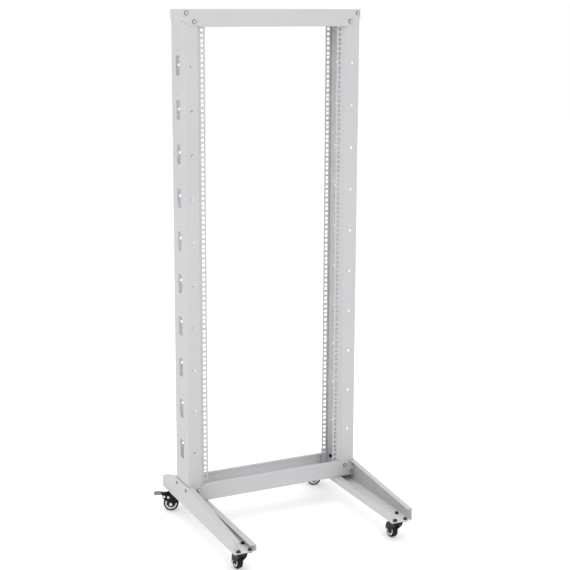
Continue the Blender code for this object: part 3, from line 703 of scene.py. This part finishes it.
def present(thing, material, body, slot, matrix, *nodes, smooth=38.0):
    """Give a piece its material and place, and tie it to the CAD."""
    mesh = thing.data
    mesh.materials.clear()
    mesh.materials.append(material)
    mesh.shade_smooth()
    mesh.set_sharp_from_angle(angle=radians(smooth))
    thing.matrix_world = matrix
    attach(thing, body)
    if nodes:
        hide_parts(*nodes)


# ---------- posts
def slot_heights():
    units = [SLOT_FIRST_UNIT + SLOT_PITCH_UNITS * i for i in range(SLOT_COUNT)]
    return [UNITS_TOP_Z - unit * UNIT for unit in units]


def make_post(side, hand):
    """Folded channel with square-hole strips, slotted web and drilled flanges."""
    outer = [
        (side * STRIP_INNER_X, 0.0),
        (side * STRIP_OUTER_X, 0.0),
        (side * JOG_X, POST_FRONT_Y),
        (side * POST_OUTER_X, POST_FRONT_Y),
        (side * POST_OUTER_X, POST_REAR_Y),
        (side * JOG_X, POST_REAR_Y),
        (side * STRIP_OUTER_X, STRIP_SPACING),
        (side * STRIP_INNER_X, STRIP_SPACING),
    ]
    middle = offset_path(outer, side * SHEET / 2)
    sheet = prism(sheet_outline(middle, SHEET), "z", POST_BOTTOM_Z, POST_TOP_Z)
    post = add_piece(hand + "_post_sheet", sheet)

    strips = bmesh.new()
    half = HOLE_SIDE / 2
    column = side * HOLE_COLUMN_X
    for unit in range(UNITS):
        for step in HOLE_STEPS:
            z = UNITS_BOTTOM_Z + unit * UNIT + step
            square = [(column - half, z - half), (column + half, z - half),
                      (column + half, z + half), (column - half, z + half)]
            add_prism(strips, square, "y", -SHEET, STRIP_SPACING + SHEET)

    flanges = bmesh.new()
    holes = [(FLANGE_HOLE_X, z, FLANGE_HOLE_RADIUS) for z in slot_heights()]
    for x, depth, _ in BEAM_SCREWS:
        for z in (TOP_BEAM_Z - depth, LOW_BEAM_Z + depth):
            holes.append((x, z, SHANK_HOLE_RADIUS))
    for x, z, radius in holes:
        hole = circle((side * x, z), radius)
        add_prism(flanges, hole, "y", POST_FRONT_Y - SHEET, POST_REAR_Y + SHEET)

    web = bmesh.new()
    span = sorted((side * (POST_OUTER_X - 2 * SHEET), side * (POST_OUTER_X + SHEET)))
    for z in slot_heights():
        slot = rounded_rectangle((MID_Y, z), SLOT_WIDTH, SLOT_HEIGHT, SLOT_CORNER)
        add_prism(web, slot, "x", *span)
        for dy, dz in ((-SIDE_DOT, 0.0), (SIDE_DOT, 0.0), (-UPPER_DOT, UNIT), (UPPER_DOT, UNIT)):
            add_prism(web, circle((MID_Y + dy, z + dz), DOT_RADIUS, 16), "x", *span)
    for y in FOOT_BOLT_YS:
        for z in (FOOT_BOLT_Z, TOP_WEB_HOLE_Z):
            add_prism(web, circle((y, z), SHANK_HOLE_RADIUS), "x", *span)
    carve(post, [strips, flanges, web])
    soften(post, EDGE)
    present(post, POST_COAT, "frame", "powder_coat", AT_RACK, hand + "_post")


# ---------- beams
def make_beam(name, web_z, turned_over):
    """Box channel folded from one sheet: web, walls with inward lips, end walls with seams."""
    inner_x = BEAM_END_X - BEAM_SHEET
    front = BEAM_FRONT_Y + BEAM_SHEET
    rear = BEAM_REAR_Y - BEAM_SHEET
    mouth = -BEAM_HEIGHT

    def bends(a, b):
        """Every long edge and corner, but not the ends of the open side."""
        return a.x != b.x or a.z != b.z or a.z > mouth / 2

    bm = bmesh.new()
    add_box(bm, (-BEAM_END_X, BEAM_FRONT_Y, mouth), (BEAM_END_X, BEAM_REAR_Y, 0.0),
            BEND + BEAM_SHEET / 2, bends)
    beam = add_piece(name + "_sheet", bm)

    cavity = bmesh.new()
    add_box(cavity, (-inner_x, front, mouth + BEAM_SHEET), (inner_x, rear, -BEAM_SHEET),
            CAVITY_BEND, bends, 2)

    quarter = [
        (STRIP_OUTER_X - 2 * GAP, BEAM_REAR_Y - BEAM_LIP),
        (JOG_X - 2 * GAP, rear),
        (inner_x - GAP, rear),
    ]
    right = quarter + [(x, front + rear - y) for x, y in reversed(quarter)]
    left = [(-x, y) for x, y in reversed(right)]
    opening = prism(right + left, "z", mouth - CUT_PAST, mouth + 2 * BEAM_SHEET)

    ends = bmesh.new()
    step = [
        (WALL_END_X, mouth - CUT_PAST),
        (WALL_END_X, mouth),
        (TAB_START_X, mouth + TAB_STEP),
        (TAB_CHAMFER_X, mouth + TAB_STEP),
        (BEAM_END_X, -END_WALL_HEIGHT),
        (BEAM_END_X + CUT_PAST, -END_WALL_HEIGHT),
        (BEAM_END_X + CUT_PAST, mouth - CUT_PAST),
    ]
    holes = bmesh.new()
    seams = bmesh.new()
    across = (BEAM_FRONT_Y - CUT_PAST, BEAM_REAR_Y + CUT_PAST)
    for side in (-1, 1):
        add_prism(ends, [(side * x, z) for x, z in step], "y", *across)
        for x, depth, _ in BEAM_SCREWS:
            add_prism(holes, circle((side * x, -depth), SHANK_HOLE_RADIUS), "y", *across)
        low_x, high_x = sorted((side * (inner_x - SEAM_REACH), side * (BEAM_END_X + SEAM_REACH)))
        for y in (front, rear):
            add_box(seams, (low_x, y - SEAM_HALF, mouth), (high_x, y + SEAM_HALF, -SEAM_TOP))
    carve(beam, [cavity, opening, ends, holes, seams])
    soften(beam, BEAM_EDGE)
    matrix = AT_RACK @ Matrix.Translation((0.0, STRIP_SPACING if turned_over else 0.0, web_z))
    if turned_over:
        matrix = matrix @ UPSIDE_DOWN
    present(beam, BEAM_COAT, "frame", "powder_coat", matrix, name)


# ---------- feet
def foot_section(side, height):
    """Section of a foot across its length, where its outer wall has this height."""
    inner = FOOT_OUTER_X - FOOT_WIDTH + SHEET / 2
    outer = FOOT_OUTER_X - SHEET / 2
    bottom = FOOT_BOTTOM_Z + SHEET / 2
    inner_top = FOOT_BOTTOM_Z + FOOT_INNER_HEIGHT - SHEET / 2
    top = FOOT_BOTTOM_Z + height - SHEET / 2
    middle = [
        (side * (FOOT_OUTER_X - FOOT_WIDTH + FOOT_INNER_LIP), inner_top),
        (side * inner, inner_top),
        (side * inner, bottom),
        (side * outer, bottom),
        (side * outer, top),
        (side * (FOOT_OUTER_X - FOOT_TOP_LIP), top),
    ]
    return sheet_outline(middle, SHEET)


def make_foot(side, hand):
    stations = (
        (-FOOT_FRONT, FOOT_END_HEIGHT),
        (POST_FRONT_Y, FOOT_TOP_HEIGHT),
        (POST_REAR_Y, FOOT_TOP_HEIGHT),
        (FOOT_REAR, FOOT_END_HEIGHT),
    )
    bm = bmesh.new()
    add_loft(bm, [(y, foot_section(side, height)) for y, height in stations], "y")
    foot = add_piece(hand + "_foot_sheet", bm)

    well = bmesh.new()
    low_x, high_x = sorted((side * (FOOT_OUTER_X - FOOT_WIDTH - CUT_PAST), side * FOOT_WALL_X))
    floor = FOOT_BOTTOM_Z + FOOT_INNER_HEIGHT + SHEET
    add_box(well, (low_x, BEAM_FRONT_Y - SHEET, floor),
            (high_x, BEAM_REAR_Y + SHEET, floor + WELL_HEIGHT))

    holes = bmesh.new()
    wall = sorted((side * (FOOT_WALL_X - SHEET), side * (FOOT_OUTER_X + SHEET)))
    for y in FOOT_BOLT_YS:
        add_prism(holes, circle((y, FOOT_BOLT_Z), SHANK_HOLE_RADIUS), "x", *wall)
    for x, y, _ in CASTERS.values():
        if (x - RACK.x) * side > 0:
            for dx, dy in bolt_corners():
                centre = (x - RACK.x + dx, y - RACK.y + dy)
                add_prism(holes, circle(centre, SHANK_HOLE_RADIUS), "z", FOOT_BOTTOM_Z - SHEET,
                          FOOT_BOTTOM_Z + 2 * SHEET)
    carve(foot, [well, holes])
    soften(foot, EDGE)
    present(foot, FOOT_COAT, "frame", "powder_coat", AT_RACK, hand + "_foot")


def bolt_corners():
    """Places of the four bolts of a caster plate, from its centre."""
    return [(sx * PLATE_BOLTS[0] / 2, sy * PLATE_BOLTS[1] / 2) for sx in (-1, 1) for sy in (-1, 1)]


# ---------- fasteners
def add_hex(bm, matrix, low, high):
    """A hexagon with its corners turned down to a cone at the upper end."""
    add_turned(bm, [(0.0, low), (HEX_RADIUS, low), (HEX_RADIUS, high - HEX_CHAMFER),
                    (HEX_FLAT, high), (0.0, high)], matrix, 6)


def cross(reach, half, degrees):
    """Outline of a plus sign, turned round by some degrees."""
    points = []
    for quarter in range(4):
        angle = radians(degrees + 90.0 * quarter)
        cosine = cos(angle)
        sine = sin(angle)
        for x, y in ((reach, -half), (reach, half), (half, half)):
            points.append((x * cosine - y * sine, x * sine + y * cosine))
    return points


def pan_head_mesh(radius, height):
    """A domed head with a cross recess, sitting at z = 0."""
    bm = bmesh.new()
    dome = [(0.0, GAP), (radius * 0.98, GAP), (radius, GAP + HEAD_RIM)]
    for i in range(1, 6):
        angle = pi / 2 * i / 6
        rise = HEAD_RIM + (height - HEAD_RIM) * sin(angle)
        dome.append((radius * cos(angle), GAP + rise))
    dome.append((0.0, GAP + height))
    add_turned(bm, dome, UPRIGHT, 28)
    head = add_piece("head", bm)
    recess = bmesh.new()
    add_loft(recess, [
        (height - RECESS_DEPTH, cross(radius * 0.22, radius * 0.08, RECESS_TURN)),
        (height + 0.001, cross(radius * 0.5, radius * 0.12, RECESS_TURN)),
    ], "z")
    carve(head, [recess])
    mesh = head.data
    bpy.data.objects.remove(head, do_unlink=True)
    return mesh


def make_screw(node, place, direction, grip, head_mesh, material):
    """Head outside and nut inside, in one piece along a direction."""
    bm = bmesh.new()
    bm.from_mesh(head_mesh)
    nut_face = -grip - GAP
    add_cylinder(bm, UPRIGHT, SHANK_RADIUS, nut_face - NUT_HEIGHT, GAP * 2, 16)
    add_hex(bm, UPSIDE_DOWN, -nut_face, -nut_face + NUT_HEIGHT)
    screw = add_piece(node + "_zinc", bm)
    turn = Vector(direction).to_track_quat("Z", "Y").to_matrix().to_4x4()
    present(screw, material, "frame", "zinc", AT_RACK @ Matrix.Translation(place) @ turn, node)


def make_frame_fasteners():
    pan = pan_head_mesh(SCREW_HEAD_RADIUS, SCREW_HEAD_HEIGHT)
    small = pan_head_mesh(FOOT_HEAD_RADIUS, FOOT_HEAD_HEIGHT)
    grip = BEAM_SHEET + GAP + SHEET
    for beam, web_z, way in (("top", TOP_BEAM_Z, -1), ("bottom", LOW_BEAM_Z, 1)):
        for side, hand in SIDES:
            for face, out, face_name in ((BEAM_FRONT_Y, -1, "front"), (BEAM_REAR_Y, 1, "rear")):
                for x, depth, place_name in BEAM_SCREWS:
                    node = f"{beam}_{face_name}_{hand}_{place_name}_screw"
                    place = (side * x, face, web_z + way * depth)
                    make_screw(node, place, (0.0, out, 0.0), grip, pan, BEAM_SCREW_ZINC)
    grip = FOOT_OUTER_X - POST_OUTER_X + SHEET
    for side, hand in SIDES:
        for y, face_name in zip(FOOT_BOLT_YS, ("front", "rear")):
            node = f"{hand}_foot_{face_name}_bolt"
            place = (side * FOOT_OUTER_X, y, FOOT_BOLT_Z)
            make_screw(node, place, (side, 0.0, 0.0), grip, small, FOOT_BOLT_ZINC)


# ---------- casters
def turned_piece(name, profile, sides, matrix=UPRIGHT):
    bm = bmesh.new()
    add_turned(bm, profile, matrix, sides)
    return add_piece(name, bm)


def make_plate(corner, mount):
    """Top plate with its raceway bulged down from it, and the bolts and nuts that hold it."""
    outline = rounded_rectangle((0.0, 0.0), PLATE_SIZE[0], PLATE_SIZE[1], PLATE_CORNER, 5)
    plate = add_piece(corner + "_plate_steel", prism(outline, "z", PLATE_BOTTOM_Z, PLATE_TOP_Z))
    holes = bmesh.new()
    for spot in bolt_corners():
        hole = circle(spot, SHANK_HOLE_RADIUS)
        add_prism(holes, hole, "z", PLATE_BOTTOM_Z - SHEET, PLATE_TOP_Z + SHEET)
    carve(plate, [holes])
    soften(plate, STEEL_EDGE, 2)
    present(plate, BLACK, "frame", "black_steel", mount, corner + "_plate")

    race = turned_piece(corner + "_race", [
        (KINGPIN_BORE, PLATE_BOTTOM_Z - GAP),
        (KINGPIN_BORE, RACE_BOTTOM_Z + 0.0016),
        *[(RACE_RADIUS * share, RACE_BOTTOM_Z + rise) for share, rise in RACE_BULGE],
        (RACE_RADIUS, PLATE_BOTTOM_Z - 0.0012),
        (RACE_RADIUS, PLATE_BOTTOM_Z - GAP),
    ], 48)
    present(race, BLACK, "frame", "black_steel", mount)

    bm = bmesh.new()
    head = FOOT_BOTTOM_Z + SHEET + GAP
    for i, (dx, dy) in enumerate(bolt_corners()):
        turn = Matrix.Rotation(radians(NUT_TURN + NUT_TURN_STEP * i), 4, "Z")
        spot = Matrix.Translation((dx, dy, 0.0)) @ turn
        add_cylinder(bm, spot, WASHER_RADIUS, head, head + WASHER, 28)
        add_hex(bm, spot, head + WASHER, head + PLATE_NUT_HEIGHT)
        tip = head + PLATE_NUT_HEIGHT + BOLT_TIP
        foot = PLATE_BOTTOM_Z + GAP
        add_turned(bm, [(0.0, foot), (SHANK_RADIUS, foot), (SHANK_RADIUS, tip - BOLT_CHAMFER),
                        (SHANK_RADIUS - 0.0005, tip), (0.0, tip)], spot, 20)
    nuts = add_piece(corner + "_plate_nuts", bm)
    present(nuts, DARK_ZINC, "frame", "zinc", mount)

    head = CROWN_BOTTOM_Z - GAP
    kingpin = turned_piece(corner + "_kingpin_rivet", [
        *[(KINGPIN_HEAD_RADIUS * share, head - drop) for share, drop in KINGPIN_HEAD],
        (KINGPIN_RADIUS, head),
        (KINGPIN_RADIUS, PLATE_TOP_Z),
        (0.0, PLATE_TOP_Z),
    ], 32)
    present(kingpin, ZINC, "frame", "zinc", mount, corner + "_kingpin")


def cheek_outline(braked):
    """One cheek of the fork, as (behind the swivel axis, above the floor) points."""
    top = CROWN_BOTTOM_Z + CROWN_HEIGHT / 2
    outline = [(-0.0165, top), (-0.016, CROWN_BOTTOM_Z - 0.006), (-0.012, CROWN_BOTTOM_Z - 0.0125)]
    outline += arc((TRAIL, WHEEL_RADIUS), BOSS_RADIUS, 215.0, 365.0, 12)
    if not braked:
        return outline + [(0.033, 0.04), (0.029, 0.048), (0.023, top - 0.004), (0.0165, top)]
    y, z = BRAKE_PIVOT
    outline += [(0.0336, 0.031), (0.0352, 0.0338), (y - 0.004, z - 0.0125)]
    outline += arc((y - 0.0002, z - 0.0002), 0.0063, 305.0, 440.0, 12)
    return outline + [(y - 0.0108, top - 0.0024), (0.0165, top)]


def flare(y, z):
    """How far a cheek flares out at this place: not below, then up to the crown's edge."""
    if z <= FLARE_START_Z or abs(y) >= CROWN_FLAT_RADIUS:
        return 0.0
    edge = sqrt(max((CROWN_RADIUS - 0.0015) ** 2 - y * y, 0.0))
    share = min((z - FLARE_START_Z) / (CROWN_BOTTOM_Z + 0.0005 - FLARE_START_Z), 1.0)
    return max(edge - CHEEK_FACE_X, 0.0) * share ** FLARE_POWER


def make_fork(corner, braked, swivel_at):
    """Pressed fork: dished crown, flared cheeks, a front skirt and the axle and pivot holes."""
    rim = CROWN_RADIUS
    fork = turned_piece(corner + "_fork_steel", [
        (KINGPIN_BORE, CROWN_BOTTOM_Z + 0.0006),
        (rim * 0.55, CROWN_BOTTOM_Z + 0.0002),
        (CROWN_FLAT_RADIUS, CROWN_BOTTOM_Z),
        (rim - 0.001, CROWN_BOTTOM_Z - 0.0001),
        (rim, CROWN_BOTTOM_Z + 0.0008),
        (rim, CROWN_TOP_Z - 0.001),
        (rim - 0.001, CROWN_TOP_Z),
        (rim - 0.0024, CROWN_TOP_Z),
        (rim * 0.72, CROWN_TOP_Z - 0.0009),
        (rim * 0.5, CROWN_TOP_Z - 0.0004),
        (KINGPIN_BORE, CROWN_TOP_Z - 0.0004),
    ], 48)

    cheeks = bmesh.new()
    for side in (-1, 1):
        span = sorted((side * FORK_INNER, side * CHEEK_FACE_X))
        add_prism(cheeks, cheek_outline(braked), "x", *span)
    planes = [((0.0, 0.0, FLARE_START_Z + FLARE_RISE * i), (0.0, 0.0, 1.0)) for i in range(1, 8)]
    planes += [((0.0, FLARE_STEP * i + GAP, 0.0), (0.0, 1.0, 0.0)) for i in range(-7, 8)]
    for place, normal in planes:
        geometry = cheeks.verts[:] + cheeks.edges[:] + cheeks.faces[:]
        bmesh.ops.bisect_plane(cheeks, geom=geometry, plane_co=place, plane_no=normal)
    for vertex in cheeks.verts:
        vertex.co.x += copysign(flare(vertex.co.y, vertex.co.z), vertex.co.x)

    skirt = bmesh.new()
    ring = arc((0.0, 0.0), CROWN_FLAT_RADIUS, 218.0, 322.0, 16)
    ring += arc((0.0, 0.0), CROWN_FLAT_RADIUS - FORK_SHEET, 322.0, 218.0, 16)
    low = [(x * 0.82, y * 0.9) for x, y in ring]
    add_loft(skirt, [(CROWN_BOTTOM_Z - SKIRT_DROP, low), (CROWN_BOTTOM_Z + 0.001, ring)], "z")
    carve(fork, [cheeks, skirt], "UNION")

    holes = bmesh.new()
    reach = FORK_INNER + 2 * FORK_SHEET
    add_prism(holes, circle((TRAIL, WHEEL_RADIUS), AXLE_RADIUS + GAP), "x", -reach, reach)
    if braked:
        for place in (BRAKE_PIVOT, SECOND_RIVET):
            add_prism(holes, circle(place, RIVET_SHANK + GAP), "x", -reach, reach)
    carve(fork, [holes])
    soften(fork, STEEL_EDGE, 2, 45.0)
    body = corner + "_swivel"
    present(fork, BLACK, body, "black_steel", swivel_at, corner + "_fork", smooth=42.0)


def make_wheel(corner, wheel_at):
    """Crowned tread with a parting line, and a cream centre with ribs."""
    body = corner + "_wheel"
    half = TREAD_WIDTH / 2
    seat = RIM_RADIUS + GAP
    tread = [(seat, -half + 0.0004), (seat + 0.0006, -half)]
    for i in range(7):
        angle = pi / 2 * i / 6
        tread.append((WHEEL_RADIUS - 0.0004 - TREAD_CORNER * (1 - sin(angle)),
                      -half + TREAD_CORNER * (1 - cos(angle))))
    tread += [(WHEEL_RADIUS - 0.0001, -0.003), (WHEEL_RADIUS, -0.0006)]
    tread += [(WHEEL_RADIUS - 0.00012, -0.0001)]
    tyre = turned_piece(corner + "_tread", mirrored(tread), 72, ALONG_AXLE)
    present(tyre, TREAD, body, "tread", wheel_at, corner + "_tyre")

    bore = AXLE_RADIUS + GAP
    boss = half + 0.0006
    web = half - 0.005
    side = [
        (bore, boss - 0.0006),
        (bore + 0.0006, boss),
        (HUB_RADIUS - 0.0006, boss),
        (HUB_RADIUS, boss - 0.0006),
        (HUB_RADIUS + 0.0004, web + 0.0006),
        (HUB_RADIUS + 0.001, web),
        (RIM_RADIUS - 0.005, web),
        (RIM_RADIUS - 0.0044, web + 0.0006),
        (RIM_RADIUS - 0.004, half - 0.0012),
        (RIM_RADIUS - 0.0034, half - 0.0004),
        (RIM_RADIUS - 0.001, half - 0.0002),
        (RIM_RADIUS, half - 0.001),
    ]
    rim = bmesh.new()
    add_turned(rim, mirrored(side), ALONG_AXLE, 56)
    for i in range(RIBS):
        turn = Matrix.Rotation(2 * pi * i / RIBS, 4, "X")
        for way in (-1, 1):
            before = set(rim.verts)
            low, high = sorted((way * (web - 0.001), way * (half - 0.0016)))
            add_box(rim, (low, -RIB_HALF, HUB_RADIUS - 0.0006),
                    (high, RIB_HALF, RIM_RADIUS - 0.0036))
            bmesh.ops.transform(rim, matrix=turn, verts=[v for v in rim.verts if v not in before])
    centre = add_piece(corner + "_rim_centre", rim)
    present(centre, RIM, body, "rim", wheel_at, corner + "_rim")


def make_axle(corner, wheel_at):
    """Axle bolt with a hexagon head on one side and a lock nut on the other."""
    swivel = corner + "_swivel"
    cheek = CHEEK_FACE_X + GAP
    bm = bmesh.new()
    tail = cheek + NUT_HEIGHT + 0.0012
    add_turned(bm, [(0.0, -tail), (AXLE_RADIUS - 0.0004, -tail), (AXLE_RADIUS, -tail + 0.0005),
                    (AXLE_RADIUS, cheek + 0.0005), (0.0, cheek + 0.0005)], ALONG_AXLE, 28)
    add_hex(bm, ALONG_AXLE, cheek, cheek + AXLE_HEAD)
    axle = add_piece(corner + "_axle_bolt", bm)
    present(axle, BLUE_ZINC, swivel, "zinc", wheel_at, corner + "_axle")

    bm = bmesh.new()
    bore = AXLE_RADIUS + GAP / 3
    add_turned(bm, [(bore, -cheek - AXLE_HEAD), (HEX_FLAT, -cheek - AXLE_HEAD),
                    (HEX_RADIUS, -cheek - 0.0029), (HEX_RADIUS, -cheek), (bore, -cheek)],
               ALONG_AXLE, 6)
    end = -cheek - NUT_HEIGHT
    add_turned(bm, [(bore, end), (COLLAR_RADIUS - 0.0006, end), (COLLAR_RADIUS, end + 0.0005),
                    (COLLAR_RADIUS, -cheek - 0.003), (bore, -cheek - 0.003)], ALONG_AXLE, 28)
    nut = add_piece(corner + "_lock_nut", bm)
    present(nut, BLUE_ZINC, swivel, "zinc", wheel_at, corner + "_axle_nut")


def rivet_profile(inner):
    """Half of a rivet: a domed head outside the cheek and a shank ending at an inner distance."""
    cheek = CHEEK_FACE_X + GAP
    dome = []
    for i in range(6):
        angle = pi / 2 * i / 5
        dome.append((RIVET_RADIUS * sin(angle), cheek + RIVET_HEAD * cos(angle)))
    return dome + [(RIVET_SHANK, cheek), (RIVET_SHANK, inner), (0.0, inner)]


def make_rivet(name, corner, place, swivel_at, inner, *nodes):
    """A rivet in both cheeks: right through where inner is zero, else a short one each side."""
    bm = bmesh.new()
    for way in (UPRIGHT, UPSIDE_DOWN):
        add_turned(bm, rivet_profile(inner), ALONG_AXLE @ way, 28)
    rivet = add_piece(name, bm)
    matrix = swivel_at @ Matrix.Translation((0.0, *place))
    present(rivet, ZINC, corner + "_swivel", "zinc", matrix, *nodes)


def make_brake(corner, swivel_at):
    """Foot brake: bent lever with its shoe, ribbed pedal sleeve, and the rivets in the fork."""
    body = corner + "_brake"
    brake_at = swivel_at @ Matrix.Translation((0.0, *BRAKE_PIVOT))
    tip = PEDAL_REACH - BRAKE_PIVOT[0]
    socket = tip - PEDAL_END
    front = socket - PEDAL_SOCKET
    half = FORK_INNER - 3 * GAP

    outer = [(-0.0024, -0.0062), (0.0008, -0.0104), (0.004, -0.01), (0.0052, -0.001),
             (0.0072, 0.0042), (front, 0.0067), (socket, 0.006), (socket, 0.008), (front, 0.0087),
             (-0.006, 0.0088), (-0.0072, 0.0082), (-0.0075, 0.007), (-0.0072, 0.0056),
             (-0.004, 0.001)]
    lever = add_piece(corner + "_brake_lever_steel", prism(outer, "x", -half, half))
    inside = [(-0.004, -0.012), (0.002, -0.012), (0.0034, -0.0006), (0.0056, 0.005),
              (-0.009, 0.0068), (-0.009, 0.005), (-0.0025, 0.0004)]
    hollow = prism(inside, "x", -half + LEVER_WALL, half - LEVER_WALL)
    pin = prism(circle((0.0, 0.0), RIVET_SHANK + GAP), "x", -2 * half, 2 * half)
    carve(lever, [hollow, pin])
    soften(lever, STEEL_EDGE, 2, 45.0)
    present(lever, BLACK, body, "black_steel", brake_at, corner + "_brake_lever")

    reach = half - SHOE_INSET
    outline = [(-0.0018, -0.0066), (0.001, -0.0101), (0.0026, -0.0088), (-0.0004, -0.005)]
    shoe = add_piece(corner + "_brake_shoe", prism(outline, "x", -reach, reach))
    soften(shoe, SHOE_EDGE)
    present(shoe, TREAD, body, "tread", brake_at)

    outline = [(front, 0.0054), (tip - 0.0024, 0.0046)]
    outline += arc((tip - 0.0023, 0.0069), 0.0023, -80.0, 75.0, 8)
    outline += [(front, 0.0101)]
    sleeve = prism(outline, "x", -PEDAL_WIDTH / 2, PEDAL_WIDTH / 2)
    pedal = add_piece(corner + "_brake_pedal_pad", sleeve)
    outline = [(front - 0.002, 0.0065), (socket + GAP, 0.0057), (socket + GAP, 0.0083),
               (front - 0.002, 0.009)]
    socket_space = prism(outline, "x", -half - GAP, half + GAP)
    grooves = bmesh.new()
    reach = PEDAL_WIDTH / 2 - 0.0022
    for i in range(PEDAL_GROOVES):
        y = front + 0.0035 + GROOVE_PITCH * i
        z = 0.0101 - 0.0007 * (y - front) / (tip - front)
        add_box(grooves, (-reach, y - GROOVE_HALF, z - 0.0006),
                (reach, y + GROOVE_HALF, z + 0.002))
    carve(pedal, [socket_space, grooves])
    soften(pedal, STEEL_EDGE, 2, 40.0)
    present(pedal, PEDAL, body, "pedal_grey", brake_at, corner + "_brake_pedal")

    make_rivet(corner + "_pivot_rivet", corner, BRAKE_PIVOT, swivel_at, 0.0, corner + "_brake_pin")
    make_rivet(corner + "_stop_rivet", corner, SECOND_RIVET, swivel_at, FORK_INNER - GAP)


def make_caster(corner):
    x, y, angle = CASTERS[corner]
    braked = corner.startswith("rear")
    mount = Matrix.Translation((x, y, 0.0))
    swivel_at = mount @ Matrix.Rotation(angle, 4, "Z")
    wheel_at = swivel_at @ Matrix.Translation((0.0, TRAIL, WHEEL_RADIUS))
    make_plate(corner, mount)
    make_fork(corner, braked, swivel_at)
    make_wheel(corner, wheel_at)
    make_axle(corner, wheel_at)
    if braked:
        make_brake(corner, swivel_at)


# ---------- studio
def make_studio():
    """A pale floor under the same soft white from every side, and softboxes aimed at the rack."""
    bm = bmesh.new()
    bmesh.ops.create_grid(bm, x_segments=1, y_segments=1, size=FLOOR_REACH)
    floor = add_piece("floor", bm)
    floor.data.materials.append(floor_white())
    world = bpy.data.worlds.new("studio")
    bpy.context.scene.world = world
    world.use_nodes = True
    surface = world.node_tree.nodes["Background"]
    surface.inputs["Color"].default_value = WHITE
    surface.inputs["Strength"].default_value = WORLD_LIGHT
    for name, place, side, watts in SOFTBOXES:
        light = bpy.data.lights.new(name, "AREA")
        light.size = side
        light.energy = watts
        lamp = add_to_scene(name, light)
        lamp.location = place
        direction = Vector((RACK.x, RACK.y, AIM_Z)) - lamp.location
        lamp.rotation_euler = direction.to_track_quat("-Z", "Y").to_euler()


def make_camera():
    """A long lens to the left of the front, looking a little down, as in the reference view."""
    data = bpy.data.cameras.new("camera")
    data.sensor_width = CAMERA_SENSOR
    data.lens = CAMERA_LENS
    data.shift_x, data.shift_y = CAMERA_SHIFT
    data.clip_end = CAMERA_REACH
    camera = add_to_scene("camera", data)
    camera.location = RACK + Vector((*CAMERA_FROM_RACK, UNITS_TOP_Z + CAMERA_ABOVE_UNITS))
    tilt = radians(90.0 - CAMERA_DOWN)
    camera.rotation_euler = (tilt, 0.0, -radians(CAMERA_RIGHT))
    bpy.context.scene.camera = camera


# ---------- the rack
for side, hand in SIDES:
    make_post(side, hand)
    make_foot(side, hand)
make_beam("top_beam", TOP_BEAM_Z, False)
make_beam("bottom_beam", LOW_BEAM_Z, True)
make_frame_fasteners()
for corner in CASTERS:
    make_caster(corner)
make_studio()
make_camera()
bpy.context.scene.view_settings.view_transform = "Standard"
bpy.context.scene.view_settings.exposure = EXPOSURE
